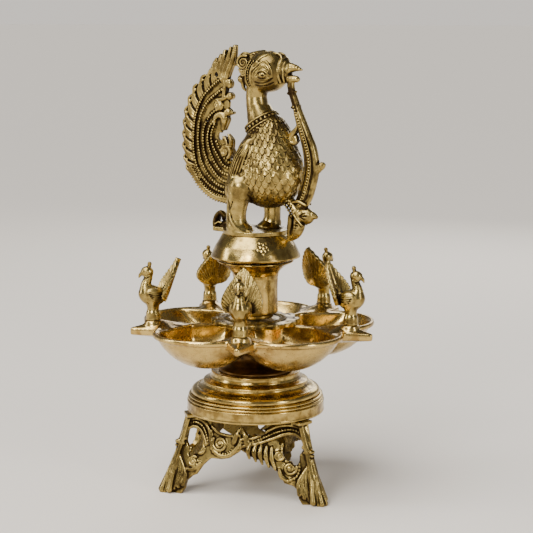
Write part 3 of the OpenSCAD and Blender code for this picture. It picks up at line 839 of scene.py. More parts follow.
def cap_relief():
    """Hammered, slightly flattened sides, and a small flower of punched dents."""
    wavy = handmade(0.5, 11)
    middle = math.radians(CAP_MARK_TURN)
    dents = [(0.0, 0.0, 0.8)]
    for ring, size, start in ((2.6, 0.75, 0.3), (4.4, 0.45, 0.93)):
        for a in np.linspace(0, math.tau, 5, False) + start:
            dents.append((ring * math.cos(a), ring * math.sin(a), size))

    def relief(angle, r, z):
        total = wavy(angle, r, z)
        along = ((angle - middle + math.pi) % math.tau - math.pi) * r
        for du, dw, size in dents:
            gap = np.sqrt((along - du) ** 2 + (z - CAP_Z - CAP_MARK_Z - dw) ** 2)
            total = total - 0.55 * np.exp(-((gap / size) ** 2)) * (r > 27)
        return total

    return relief


def build_cap():
    z = CAP_Z
    profile = [
        (30.1, z + 0.5), (32.6, z + 1.1), (34.5, z + 2.2), (34.3, z + 3.4), (33.0, z + 7), (31.0, z + 11.6),
        (28.0, z + 16.2), (26.2, z + 18.9), (25.3, CAP_TOP), (3.1, CAP_TOP), (3.1, z + 4), (8, z + 4),
        (9, CAP_TOP - 4.5), (19.5, CAP_TOP - 4.5), (26.5, z + 12), (29.5, z + 4), (26.9, z + 0.5),
    ]
    mesh = lathe(profile, 512, 0.5, 0.42, cap_relief())
    add_object("cap_turning", mesh, "top", POLISHED, ["cap"])


# ---------------------------------------------------------------- tray and disc


BOWL_RING = 52.0
BOWL_RIM = 40.2
BOWL_DEPTH = 27.3
BOWL_WALL = 2.2
SEAT_RING = float(np.hypot(*PEACOCK_SEATS["small_peacock_1"][:2]))
SEAT_Z = float(PEACOCK_SEATS["small_peacock_1"][2])


def half_space(x, y, z, a, b, c):
    """Distance above the plane through three points, counted anticlockwise from outside."""
    a, b, c = (np.array(p, float) for p in (a, b, c))
    n = np.cross(b - a, c - a)
    n /= np.linalg.norm(n)
    return (x - a[0]) * n[0] + (y - a[1]) * n[1] + (z - a[2]) * n[2]


def tab_distance(x, y, z):
    """A pointed, faceted tab along +X: two facets on top that meet in a ridge, and a keel below."""
    y = np.abs(y)
    ridge, tip = (75, 0, SEAT_Z + 0.2), (98, 0, TRAY_TOP - 0.6)
    corner, root = (68, 15.0, TRAY_TOP + 0.4), (50, 0, TRAY_TOP)
    nose, keel, wing = (97.5, 0, TRAY_TOP - 6.2), (62, 0, TRAY_TOP - 11), (68, 16, TRAY_TOP - 5)
    faces = [
        half_space(x, y, z, ridge, tip, corner),
        half_space(x, y, z, ridge, corner, root),
        half_space(x, y, z, nose, keel, wing),
        half_space(x, y, z, corner, (98, 1.4, TRAY_TOP), (98, 1.4, TRAY_TOP - 11)),
        x - 97.6,
        y - 15.0,
        50 - x,
    ]
    total = faces[0]
    for d in faces[1:]:
        total = -soft_min(-total, -d, 1.0)
    return total


def divider_distance(x, y):
    """The wall between two bowls along +X, which widens into the root of a tab."""
    y = np.abs(y)
    return np.maximum(soft_min(y - 1.9, 0.79 * (y - 1.9) - 0.6 * (x - 50), 1.5), -x)


def build_tray():
    """Five bowls with walls between them, the hub and a faceted tab at each wall's end."""
    f = Field((-100, -100, 102), (100, 100, SEAT_Z + 2), 0.9)
    slices, (x, y, z) = f.everywhere()
    r = np.hypot(x, y)
    solid = np.maximum(np.maximum(r - (21 + 0.08 * (z - STEM_TOP)), STEM_TOP + 0.35 - z), z - TRAY_TOP)
    sphere = (BOWL_RIM**2 + BOWL_DEPTH**2) / (2 * BOWL_DEPTH)
    middle = TRAY_TOP - BOWL_DEPTH + sphere
    hollows = np.full(solid.shape, FAR * 3)
    keep = r - 23.5 + 0 * z
    for k in range(5):
        angle = TRAY_TURN + TAB_STEP * (k + 0.5)
        cx, cy = BOWL_RING * math.cos(angle), BOWL_RING * math.sin(angle)
        flat = np.hypot(x - cx, y - cy)
        ball = np.sqrt(flat**2 + (z - middle) ** 2)
        shell = -soft_min(-(ball - sphere), -(z - TRAY_TOP), 1.0)
        lip = np.hypot(flat - BOWL_RIM - 0.1, (z - TRAY_TOP + 1.3) * 0.8) - 1.5
        solid = soft_min(solid, soft_min(shell, lip, 2.0), 3.0)
        hollows = soft_min(hollows, ball - (sphere - BOWL_WALL), 0.4)
    for k in range(5):
        angle = TRAY_TURN + TAB_STEP * k
        c, s = math.cos(angle), math.sin(angle)
        along, across = x * c + y * s, y * c - x * s
        solid = soft_min(solid, tab_distance(along, across, z), 1.6)
        keep = np.minimum(keep, divider_distance(along, across))
        seat = np.hypot(along - SEAT_RING, across) - 6.2 - 0.25 * np.maximum(SEAT_Z - z, 0)
        solid = soft_min(solid, np.maximum(seat, np.abs(z - SEAT_Z + 2.05) - 2), 1.2)
    hollows = -soft_min(-hollows, keep, 4.0)
    solid = -soft_min(-solid, hollows, 1.4)
    solid = np.maximum(solid, 3.1 - r)
    f.values[slices] = np.clip(solid, -FAR, FAR)
    mesh = f.mesh()
    add_object("oil_tray_casting", mesh, "tray", TRAY_BRASS, ["oil_tray"])


def build_disc():
    """Flower-shaped disc: twelve petals, veins, a ring of short ribs and a beaded ring."""
    f = Field((-36, -36, TRAY_TOP - 1), (36, 36, TRAY_TOP + 6.5), 0.5)
    slices, (x, y, z) = f.everywhere()
    r, angle = np.hypot(x, y), np.arctan2(y, x)
    petals = 12
    lobe = np.abs(np.cos(angle * petals / 2))
    edge = r - 31.2 - 3.2 * lobe**0.7
    dish = 3.6 + 0.35 * np.cos(angle * petals) * np.clip((r - 24) / 8, 0, 1)
    side = np.maximum(edge, np.maximum(z - TRAY_TOP - dish, TRAY_TOP + 0.05 - z))
    vein = np.abs(np.sin(angle * petals / 2)) * r
    side = side + 0.5 * np.exp(-((vein / 0.8) ** 2)) * (r > 24) * (z > TRAY_TOP + 1.5)
    ribs = 0.45 * np.cos(angle * 36) * np.exp(-(((r - 22) / 1.7) ** 2))
    ring = np.maximum(np.abs(r - 21.7) - 2.2, z - TRAY_TOP - 4.3 - ribs)
    solid = soft_min(side, np.maximum(ring, TRAY_TOP + 1 - z), 0.6)
    groove = np.hypot(r - 29.4, z - TRAY_TOP - 3.9) - 0.5
    solid = np.maximum(np.maximum(solid, -groove), 3.1 - r)
    f.values[slices] = np.clip(solid, -FAR, FAR)
    add_object("lotus_disc_casting", f.mesh(), "tray", ANTIQUE, ["lotus_disc"])


# ---------------------------------------------------------------- small peacocks


PEACOCK_GROWTH = 1.14  # the mesh below is drawn smaller than the casting by this factor
SEAT_GAP = 0.3


def small_peacock_mesh():
    """A small peacock that looks along +X, on its pedestal; z = 0 is its foot."""
    f = Field((-22, -16, -6), (13, 16, 44), 0.34)
    f.tube([(0, 0, 0), (0, 0, 1.6)], [5.0, 4.6], 0.3, straight=True)
    f.tube([(0, 0, 1.4), (0, 0, 6), (0, 0, 12)], [4.6, 3.9, 4.4], 1.4)
    f.tube([(0, 0, 3.6), (0, 0, 3.9)], [4.8, 4.8], 0.5, straight=True)
    f.ball((0.6, 0, 16.6), (9.0, 6.6, 7.0), 1.6, turn_about(1, -10))
    f.tube([(4.8, 0, 18.5), (4.6, 0, 24), (2.6, 0, 29.5), (3.2, 0, 32)], [4.6, 3.4, 2.6, 2.8], 1.6)
    f.ball((3.7, 0, 32.6), (4.3, 3.6, 3.8), 0.9)
    f.tube([(6, 0, 32.2), (8.3, 0, 30.8), (9.3, 0, 28.9)], [1.7, 1.2, 0.5], 0.5)
    f.tube([(2.4, 0, 35.4), (2.0, 0, 38)], [1.1, 1.5], 0.4)
    for way in (-1, 1):
        f.ball((4.6, 2.9 * way, 33.3), 0.95, 0.2)
        f.tube([(2.6, 3.1 * way, 30.2), (4.4, 3.0 * way, 29.6), (6, 1.8 * way, 30.2)], 0.45, 0.2)
        f.ball((-0.8, 5.2 * way, 17.4), (6.6, 2.2, 4.6), 0.4, turn_about(1, -22))
        for k in range(4):
            drop = 1.5 * k
            line = np.array([(4.2 - k, 6.9, 19.8 - drop), (-1.5, 7.5, 18.8 - drop), (-7, 6.2, 19.2 - drop)])
            f.tube(line * (1, way, 1), 0.42, 0.2, cut=True)
    for k in range(6):
        rise = 1.4 * k
        line = [(3.2, -3.6, 23 + rise), (6.6, 0, 21.6 + rise), (3.2, 3.6, 23 + rise)]
        f.tube(line, 0.28, 0.15, cut=True)

    # the fan: a pointed-arch plate, hollow behind, with radiating grooves on both faces
    slices, (x, y, z) = f.everywhere()
    lean = math.radians(19)
    up = (x + 6.5) * -math.sin(lean) + (z - 13) * math.cos(lean)
    out = (x + 6.5) * math.cos(lean) + (z - 13) * math.sin(lean)
    v = np.clip(up / 30.5, 0, 1)
    width = 12.6 * np.sin(np.pi * v**0.52) ** 0.7 * (1 - 0.1 * v) + 1.6 * (1 - v)
    across = np.abs(y) + 0 * z
    cup = 0.022 * across**2 - 1.2
    angle = np.arctan2(y, up + 3.0)
    reach = np.hypot(y, up + 3.0)
    grooves = 0.5 * np.cos(angle * 54) * np.clip((reach - 7) / 4, 0, 1)
    rim = 0.35 * np.exp(-(((width - across) / 1.2) ** 2))
    thick = 1.15 + 0.5 * np.exp(-((across / 1.4) ** 2)) + grooves * 0.6 + rim
    edge = np.maximum(across - width, np.maximum(-up, up - 30.5)) * 0.8
    fan = -soft_min(-(np.abs(out - cup) - thick), -edge, 0.9)
    f.merge(slices, np.clip(fan, -FAR, FAR), 0.8, False)
    f.tube([(-4, 0, 15), (-7.5, 0, 18), (-9.6, 0, 24)], [4.2, 3.0, 1.2], 1.4)
    foot, (x, y, z) = f.block((-22, -16, -6), (13, 16, 0.5), 0)
    f.values[foot] = np.maximum(f.values[foot], 0.1 - z)
    points, quads, hollow, raised = f.mesh()
    return points * PEACOCK_GROWTH, quads, hollow, raised


def build_small_peacocks():
    data = mesh_data("small_peacock_casting", small_peacock_mesh())
    for number, (body, seat) in enumerate(sorted(PEACOCK_SEATS.items()), 1):
        name = f"small_peacock_casting_{number}"
        turn = math.atan2(seat[1], seat[0])
        at = seat + (0, 0, SEAT_GAP)
        place(data, name, body, SMALL, [f"finial_{number}"], turn, at)


# ---------------------------------------------------------------- large peacock


NECK_AXIS = np.array([-0.54, 0.0, 0.84])  # direction that the neck takes as it leaves the collar
COLLAR = np.array([6.0, 0.0, 286.4])
COLLAR_R = 13.3


def collar_ring(radius, along, count=36):
    """A circle round the neck, at a distance along it from the collar's middle."""
    across = np.array([0.84, 0.0, 0.54])
    t = np.linspace(0, math.tau, count + 1)
    return (
        COLLAR
        + along * NECK_AXIS
        + radius * (np.outer(np.cos(t), across) + np.outer(np.sin(t), (0, 1, 0)))
    )


def scale_relief(x, y, z):
    """Overlapping rounded feathers round the breast: raised towards each lower lip."""
    angle = np.arctan2(y, x - 8.0)
    height = z + 0.18 * (x - 12)
    row_step, count = 5.0, 30
    relief = np.zeros(np.broadcast(x, y, z).shape)
    done = np.zeros(relief.shape, bool)
    row = np.floor(height / row_step)
    for up in (2, 1, 0, -1):
        this = row + up
        centre_z = this * row_step + row_step
        u = angle * count / math.tau + 0.5 * (this % 2)
        spread = np.hypot(x - 8.0, y) * math.tau / count
        du = (u - np.round(u)) * spread
        dz = (height - centre_z) * 1.05
        gap = np.hypot(du / np.maximum(spread * 0.54, 0.1), dz / (row_step * 1.25))
        inside = (gap < 1) & (dz < 1.0) & ~done
        lip = 0.1 + 0.7 * (gap / 0.84) ** 3 - 1.3 * np.clip((gap - 0.84) / 0.1, 0, 1)
        relief = np.where(inside, lip, relief)
        done |= inside
    return relief


def torso_mesh():
    """Breast, wings, legs and base of the large peacock."""
    f = Field((-39, -29, 200), (45, 28, 301), 0.47)
    f.ball((12, 0, 249), (27.5, 22, 27), 0)
    f.ball((14, 0, 268), (17.2, 15.6, 24.5), 10)
    f.tube([(2, 0, 262), (-15, 0, 233)], [14.2, 11], 9, straight=True)
    f.tube([(8, 0, 283), (3, 0, 299)], [11.6, 8.6], 7, straight=True)
    slices, (x, y, z) = f.everywhere()
    below_collar = (x - COLLAR[0]) * NECK_AXIS[0] + (z - COLLAR[2]) * NECK_AXIS[2] + 2.5
    fade = np.clip(-below_collar / 2, 0, 1) * np.clip((x + 5) / 3, 0, 1)
    near = np.abs(f.values) < 3
    relief = np.where(near, scale_relief(x, y, z) * fade, 0)
    f.values[slices] -= relief.astype(np.float32)

    for way in (-1, 1):
        # wing: a long smooth oval with fine grooves, over the back and side
        f.ball((-4.6, 14.0 * way, 255), (7.6, 7.6, 22.5), 0.8, turn_about(1, 24))
        f.ball((-14, 9.5 * way, 240), (5.6, 6, 12), 2.0, turn_about(1, 24))
        for k in range(7):
            shift = 2.1 * k - 6.2
            groove = []
            for px, pz in (
                (4.4 + 0.5 * shift, 272), (-0.9 + shift, 262), (-5.0 + shift, 252), (-9.6 + 0.8 * shift, 241),
            ):
                off = (px - (-4.6 + 0.445 * (pz - 255))) / 7.6
                rest = max(1 - off**2 - ((pz - 255) / 24.5) ** 2, 0.02)
                groove.append((px, way * (14.0 + 7.5 * math.sqrt(rest)), pz))
            f.tube(groove, 0.5, 0.2, cut=True)
    # rump feathers over the tail's root
    for k in range(5):
        y0 = -7 + 3.5 * k
        f.tube([(-9, y0, 252), (-17, y0 * 0.8, 243), (-21, y0 * 0.55, 231)], [1.6, 1.9, 1.2], 0.7)

    # legs: near one broad with a drape along it, far one slimmer
    near_leg = [
        (-4, -15, 238), (-6.5, -16.2, 226), (-7.5, -16.6, 215), (-6.5, -16.4, 207), (-4.5, -15.5, 203.6),
    ]
    f.tube(near_leg, [10.5, 8.2, 7.4, 8.6, 9.8], 2.5)
    f.tube([(-15, -14, 203.4), (-7, -17, 203.4), (4, -15, 203.2)], [3.2, 4.2, 2.6], 2.5)
    far_leg = [(6, 13, 234), (6.5, 14.5, 224), (6.4, 15, 214), (5.6, 15, 206), (5, 14, 203.6)]
    f.tube(far_leg, [9.0, 7.0, 6.2, 8.0, 10.5], 2.5)
    f.tube([(-6, 14, 202.8), (5, 15, 203.6), (16, 11, 202.8)], [3, 4.4, 3], 2.5)
    drape = [
        (7, -21.4, 249), (3, -20.6, 242.5), (0.2, -19.2, 236), (-2.6, -20.6, 230), (-6.4, -23.2, 224),
        (-8.4, -24.2, 217.5), (-6, -24.4, 211.5), (-1.4, -22.6, 206.4), (3.5, -20, 204.2),
    ]
    f.tube(drape, [0.7, 1.3, 1.5, 1.4, 1.2, 1.1, 1.2, 1.5, 1.2], 0.7)
    for k in range(5):
        out = -22 - 0.5 * k
        fold = [(-13.5 + 1.9 * k, out, 232 - k), (-14 + 1.5 * k, out - 0.4, 220), (-14 + 2.2 * k, out, 208)]
        f.tube(fold, 0.4, 0.3, cut=True)
    for k in range(6):
        root = (-1.6 + 1.5 * k, -19.5, 205.4 if k else 209)
        f.tube([root, (0.5 + 2 * k, -21, 203.6)], 0.8, 0.4, straight=True)

    # base plate and the scroll behind
    part, (bx, by, bz) = f.block((-26, -26, CAP_TOP - 1), (26, 26, CAP_TOP + 5), 1)
    disc = np.maximum(np.hypot(bx, by) - 25.2, np.abs(bz - CAP_TOP - 1.7) - 1.65)
    f.merge(part, disc, 1.0, False)
    f.plate([(-35, -6), (-10, -9), (-10, 9), (-35, 6)], (0, 1), CAP_TOP, CAP_TOP + 3.4, 1.0)
    scroll = [
        (-34, 0, 203), (-35, 0, 208), (-33.6, 0, 213), (-30.6, 0, 215.3), (-28, 0, 213.4), (-28.4, 0, 210.6),
    ]
    f.tube(scroll, [3.0, 2.6, 2.4, 2.2, 1.9, 1.4], 0.8, flat=(1, 1.8, 1))
    stem = [(-31, 0, 203), (-28, 0, 206), (-24, 0, 207), (-20, 0, 204)]
    f.tube(stem, [3.0, 2.6, 2.4, 3], 1.2, flat=(1, 1.6, 1))
    for way in (-1, 1):
        f.tube([(-33.6, 4.6 * way, 206.5), (-31, 4.8 * way, 208.4), (-28, 4.4 * way, 208)], 0.7, 0.3)

    # collar: two rims with square beads between them
    for along in (-2.3, 2.3):
        f.tube(collar_ring(COLLAR_R + 0.1 * (along < 0), along), 0.85, 0.3, straight=True)
    for p in collar_ring(COLLAR_R + 0.1, 0, 24)[:-1]:
        f.ball(p, (1.25, 1.25, 1.35), 0.2)
    for p in collar_ring(COLLAR_R + 0.9, -4.4, 26)[:-1]:
        f.ball(p, 0.95, 0.3)
    # nothing reaches below the cap's top
    part, (bx, by, bz) = f.block((-40, -30, CAP_TOP - 4), (46, 30, CAP_TOP), 0)
    f.values[part] = np.maximum(f.values[part], CAP_TOP + 0.05 - bz)
    return f.mesh()


HEAD = np.array([11.5, 0.0, 325.3])
HEAD_R = np.array([17.2, 14.3, 15.6])


def on_head(points, lift=0.0):
    """(x, z) places on the near side of the head, as points just above its surface."""
    made = []
    for px, pz in points:
        rest = 1 - ((px - HEAD[0]) / HEAD_R[0]) ** 2 - ((pz - HEAD[2]) / HEAD_R[2]) ** 2
        made.append((px, -HEAD_R[1] * math.sqrt(max(rest, 0.0)) - lift, pz))
    return made


def head_mesh():
    """Neck, head, beak and crest of the large peacock."""
    f = Field((-19, -18.5, 284), (44, 18.5, 345.5), 0.36)
    neck = [(5.2, 0, 286), (2.4, 0, 297), (0.9, 0, 306), (2.4, 0, 315), (6, 0, 320)]
    f.tube(neck, [10.6, 8.7, 8.0, 8.6, 9.5], 0)
    f.ball(HEAD, HEAD_R, 3.0)
    f.ball((24, 0, 327.4), (7.5, 7.2, 7.6), 3.0)

    # beak, slightly open
    upper = [(22, 0, 327.2), (29, 0, 328.2), (35, 0, 328.2), (40.2, 0, 326.9)]
    f.tube(upper, [7.2, 5.0, 3.0, 0.8], 0.8, flat=(1, 0.85, 0.85))
    lower = [(20, 0, 321), (28, 0, 320.4), (35.2, 0, 319.9)]
    f.tube(lower, [7.0, 4.6, 3.2], 1.2, flat=(1, 0.85, 0.8))
    for side in both_sides([(27.5, -6.5, 323.4), (31, -4.2, 324.2), (36, -3, 324.0), (39, -2, 324)]):
        f.tube(side, 0.5, 0.2, cut=True)
    gape = [(30, 0, 324.0), (35, 0, 323.8), (41, 0, 323.6)]
    f.tube(gape, [0.7, 1.3, 1.8], 0.2, flat=(1, 3.5, 1), cut=True)
    for way in (-1, 1):
        f.ball((29.5, 3.5 * way, 328.6), 0.55, 0.1, cut=True)

    brow = on_head([(7.7, 331.5), (10.5, 335.2), (14.2, 337.4), (18.0, 338.9)])
    brow += [(21.4, -3, 338.6), (24.6, -3.6, 336.2), (26.0, -5.4, 332)]
    socket = [
        (4.5, 327), (8.1, 329.2), (11.5, 332.4), (15, 333.4), (18.5, 330.6), (20.6, 326.4), (20.8, 322),
    ]
    fold = [(6.5, 325.0), (9.4, 328.2), (13, 330.2), (16.4, 328.8), (18.2, 325.6)]
    upper_lid = [(7.4, 322.4), (10.6, 325.6), (14, 326.6), (17.4, 324.8), (20.4, 321.6)]
    lower_lid = [(7.4, 322.4), (10.6, 320.3), (14, 319.6), (17.4, 320.1), (20.4, 321.6)]
    lines = [
        (brow, 0.95),
        (on_head(socket), 0.85),
        (on_head(fold, 0.1), 0.6),
        (on_head(upper_lid, 0.2), 0.65),
        (on_head(lower_lid, 0.1), 0.55),
    ]
    # bands round the root of the beak
    lines += [
        ([(25.7, 0, 336.4), (25.6, -4.9, 334.3), (25.2, -7.6, 330.6), (24.6, -8.9, 326), (24.8, -8.6, 321.6),
          (25.4, -6.4, 317.6)], 0.95),
        ([(28.0, 0, 333.9), (27.9, -3.8, 332.2), (27.7, -6.0, 329), (27.5, -6.9, 325.4), (27.5, -6.6, 321.8),
          (27.4, -4.6, 318)], 0.9),
        ([(30.0, 0, 331.6), (29.9, -3.4, 330.2), (29.7, -4.8, 327.6), (29.5, -5.4, 325.2)], 0.55),
    ]
    # bands behind the cheek, down to the throat
    lines += [
        ([(9, -12.9, 332.6), (5.2, -13.0, 329.0), (2.6, -12.0, 322.7), (2.2, -9.8, 316.9), (4.0, -6.0, 312.2),
          (8.6, 0, 309.4)], 1.3),
        ([(2.0, -10.6, 333.5), (-1.2, -10.6, 328), (-2.6, -9.9, 321.5), (-1.6, -8.4, 315.6),
          (1.8, -6.2, 310.6), (6.4, 0, 307.4)], 0.8),
    ]
    for points, radius in lines:
        for side in both_sides(points):
            f.tube(side, radius, 0.35)
    cheek_beads = [
        (5.6, -12.2, 333), (1.8, -12.2, 328.4), (0.0, -11.2, 322), (0.3, -9.2, 316.2), (2.8, -6.2, 311.3),
        (7.4, -1, 308.4),
    ]
    for side in both_sides(cheek_beads):
        f.beads(side, 1.9, 0.95, 0.2)
    for side in both_sides(on_head([(13.4, 323.0)], -1.2)):
        f.ball(side[0], (3.6, 2.5, 2.5), 0.2)
    for side in both_sides(on_head([(14.6, 322.9)], 1.0)):
        f.ball(side[0], (0.9, 0.7, 0.9), 0.1, cut=True)
    for radius, groove in (
        (0.6, [(6.6, 317.6), (10, 316.8), (14, 317), (18.4, 318.6), (21, 320.6)]),
        (0.55, [(6.4, 315.4), (11, 314.6), (16, 315.2), (21, 317.4)]),
    ):
        for side in both_sides(on_head(groove, 0.1)):
            f.tube(side, radius, 0.25, cut=True)
    for k in range(4):
        lift = 1.9 * k
        crown_line = [
            (6 - lift, -6.5 + lift, 338.4 - 0.6 * lift),
            (11, -6.2 + lift, 339.7),
            (17, -4.4 + lift * 0.7, 340.2),
        ]
        for side in both_sides(crown_line):
            f.tube(side, 0.45, 0.2, cut=True)

    # crest: a large scroll, a small one, and a hanging drop
    f.ball((-8.8, 0, 331.6), (6.0, 3.6, 6.0), 1.0)
    f.ball((-1.0, 0, 335.8), (4.6, 3.4, 4.0), 1.6)
    crest = [(8, 0, 339), (2, 0, 338.6), (-4, 0, 337.6), (-10, 0, 338.2), (-14.6, 0, 334.8)]
    f.tube(crest, [2.6, 2.2, 1.8, 1.6, 1.2], 0.8, flat=(1, 1.3, 1))
    for way in (-1, 1):
        face = 3.3 * way
        f.tube(spiral((-8.8, face, 331.6), 5.9, 2.3, 60, (1, 0, 0), (0, 0, 1)), [1.05, 0.9, 0.8], 0.2)
        f.tube(spiral((-0.4, face * 0.9, 336.2), 2.9, 1.6, 20, (1, 0, 0), (0, 0, 1)), [0.8, 0.7], 0.2)
        for k in range(3):
            drop = 1.7 * k
            lock = [
                (-12.6 + k, face, 326.4 - drop),
                (-9, face * 1.15, 325.4 - drop),
                (-4.5, face * 1.6, 326.6 - drop),
            ]
            f.tube(lock, 0.75, 0.3)
        f.tube([(1.5, 5.2 * way, 335.6), (-2, 5.4 * way, 331.5), (-3.6, 6.4 * way, 326)], 0.8, 0.4)
    f.tube([(-6, 0, 327), (-6.5, 0, 321.5), (-5, 0, 316)], [4.2, 3.6, 3.4], 1.5)
    f.ball((-11.9, 0, 319.2), (3.2, 3.3, 3.3), 0.8)
    f.tube([(-10.8, 0, 317), (-10.4, 0, 313), (-8.4, 0, 310.6)], [2.0, 1.5, 0.9], 0.6)
    f.tube([(-13, 0, 328), (-15.5, 0, 330.2), (-17.6, 0, 329.6)], [1.4, 1.1, 0.8], 0.4)
    return f.mesh()


TAIL_OUTLINE = [
    (-19, 221.5), (-31, 223.5), (-44, 231), (-53.5, 243), (-57.5, 256), (-58.5, 270), (-57, 286),
    (-53, 299), (-46, 312), (-38, 321), (-30, 330), (-24, 331), (-23, 320), (-25, 311), (-22, 301),
    (-23, 292), (-27, 283), (-30, 276), (-25, 270), (-22, 262), (-22, 253), (-17, 244), (-13, 232),
]
TAIL_MAIN = [
    (-20, 231), (-31, 232.5), (-41.5, 238.5), (-49.5, 248), (-53.4, 260), (-54, 275), (-52, 290),
    (-45.5, 304.5), (-34, 315.5), (-27, 320),
]
TAIL_STRANDS = [
    [(-20, 235), (-30, 236.5), (-38.6, 242.5), (-46, 253), (-49.4, 266), (-49.4, 279), (-47, 291),
     (-41, 301), (-31, 309), (-26, 312)],
    [(-20, 240), (-28, 241), (-36, 248), (-42.6, 258), (-45.2, 270), (-44, 282), (-38, 291.5), (-31, 296)],
    [(-21, 245), (-28, 247), (-34.4, 254), (-39.4, 264), (-41, 274), (-38.6, 283), (-33, 289)],
    [(-21, 250), (-27, 253), (-32, 260), (-36.4, 268), (-37.6, 276), (-34.8, 284)],
    [(-22, 255), (-26.5, 259), (-30, 265), (-33, 271)],
]


def flat_line(points, y):
    """(x, z) points as a line at one distance from the bird's middle plane."""
    return [(px, y, pz) for px, pz in points]


def curled_leaf(f, root, along, out, size, y, radius=1.15):
    """Three nested ribs that leave a root, sweep outwards and curl over at the tip."""
    for k in range(3):
        start = root - along * 2.15 * k
        grow = size * (1 - 0.13 * k)
        steps = ((0, 0), (0.34, 0.16), (0.74, 0.5), (0.93, 0.95), (0.8, 1.25))
        path = [start + out * a * grow + along * b * grow for a, b in steps]
        f.tube(flat_line(path, y), [radius * 0.8, radius, radius * 1.15, radius * 1.1, radius * 0.8], 0.15)


def tail_mesh():
    """The pierced tail plume: a thin web with beaded strands, curled leaves and buds on both faces."""
    f = Field((-68, -5.6, 218), (-10, 5.6, 348), 0.48)
    f.plate(TAIL_OUTLINE, (0, 2), -1.6, 1.6, 0, soft=1.0)
    main = smooth_path(flat_line(TAIL_MAIN, 0), 60)[:, [0, 2]]
    step = np.gradient(main, axis=0)
    step /= np.linalg.norm(step, axis=1)[:, None]
    normals = np.column_stack([-step[:, 1], step[:, 0]])

    for way in (-1, 1):
        for strand in [TAIL_MAIN, *TAIL_STRANDS]:
            f.tube(flat_line(strand, 1.5 * way), [1.6, 1.45, 1.3, 1.1], 0.15)
            f.beads(flat_line(strand, 3.1 * way), 2.2, 1.0, 0.1)
        # ribbed band along the lower edge
        rim = smooth_path([(-22, 0, 225.5), (-36, 0, 228), (-48, 0, 236.5), (-57, 0, 249)], 20)[:, [0, 2]]
        f.tube(flat_line(rim, 1.2 * way), 2.7, 0.4)
        for p, q in zip(rim, np.gradient(rim, axis=0)):
            across = np.array([q[1], -q[0]]) / np.hypot(*q)
            f.tube(flat_line([p - 2.6 * across, p + 2.6 * across], 3.3 * way), 0.62, 0.2, straight=True)
        # curled leaves that overlap along the outer edge and grow towards the tip
        for k in range(11):
            i = int(17 + 3.9 * k)
            curled_leaf(f, main[i] + 1.2 * normals[i], step[i], normals[i], 8.4 + 0.2 * k, 2.0 * way)
        # the tall leaves at the tip
        tips = [
            [(-26, 316), (-23, 325), (-19, 334), (-17.2, 344)],
            [(-28, 318), (-25.6, 327), (-22.6, 335), (-20.6, 342.5)],
            [(-30, 320), (-28.6, 328), (-26.8, 335), (-26, 340.2)],
            [(-32, 321), (-31.6, 328), (-30.4, 333), (-29.4, 337)],
            [(-35, 320), (-36, 326), (-35, 330.5), (-33.4, 334)],
        ]
        for k, line in enumerate(tips):
            f.tube(flat_line(line, (1.4 + 0.25 * (k % 2)) * way), [1.9, 2.3, 2.1, 1.3], 0.25)
        # scrolls, drops and buds on the inner edge
        f.ball((-25.2, 1.2 * way, 263.4), (6.2, 2.6, 6.2), 0.5)
        f.tube(spiral((-25.2, 3.3 * way, 263.4), 5.4, 1.6, -60, (1, 0, 0), (0, 0, 1)), [1.3, 1.2, 0.9], 0.25)
        f.tube(flat_line([(-21.2, 267), (-20.8, 272), (-23.4, 276.4)], 1.4 * way), [2.1, 1.9, 0.8], 0.4)
        f.tube(flat_line([(-24, 268), (-25.4, 272.5), (-28, 274.6)], 1.6 * way), [1.7, 1.4, 0.8], 0.3)
        hood = [(-35.5, 285), (-34, 290), (-29.6, 291.6), (-26.2, 288.4), (-27.4, 281)]
        crease = [(-31.5, 288.5), (-28.6, 287.4), (-28.2, 282)]
        f.tube(flat_line(hood, 1.7 * way), [1.6, 2.2, 2.8, 3.4, 1.8], 0.4)
        f.tube(flat_line(crease, 3.9 * way), [0.5, 0.6, 0.4], 0.2, cut=True)
        f.ball((-31.0, 1.6 * way, 298.4), (4.2, 2.6, 4.6), 0.4)
        f.tube(spiral((-31.0, 3.4 * way, 298.4), 3.6, 1.3, 100, (1, 0, 0), (0, 0, 1)), 0.85, 0.2)
        f.ball((-23.6, 1.4 * way, 293.6), (3.6, 2.4, 3.0), 0.4)
        f.ball((-19.6, 1.0 * way, 293.2), (1.7, 1.7, 1.4), 0.4)
        f.ball((-21.6, 1.2 * way, 306.0), (3.1, 2.5, 3.1), 0.4)
        f.tube(flat_line([(-33, 303), (-28, 303.6), (-24, 305.6)], 1.9 * way), [1.4, 1.7, 1.3], 0.3)
        f.ball((-22.2, 1.2 * way, 315.4), (2.8, 2.3, 3.8), 0.4)
        f.tube(flat_line([(-27, 306), (-26, 311), (-24.6, 317)], 1.9 * way), [1.6, 1.8, 1.4], 0.3)
    for px, pz, radius in ((-32.6, 322.4, 1.5), (-30.6, 274.9, 2.2), (-46.5, 296, 1.1), (-42, 287, 1.1)):
        f.ball((px, 0, pz), (radius, 8, radius * 1.3), 0.4, cut=True)
    return f.mesh()


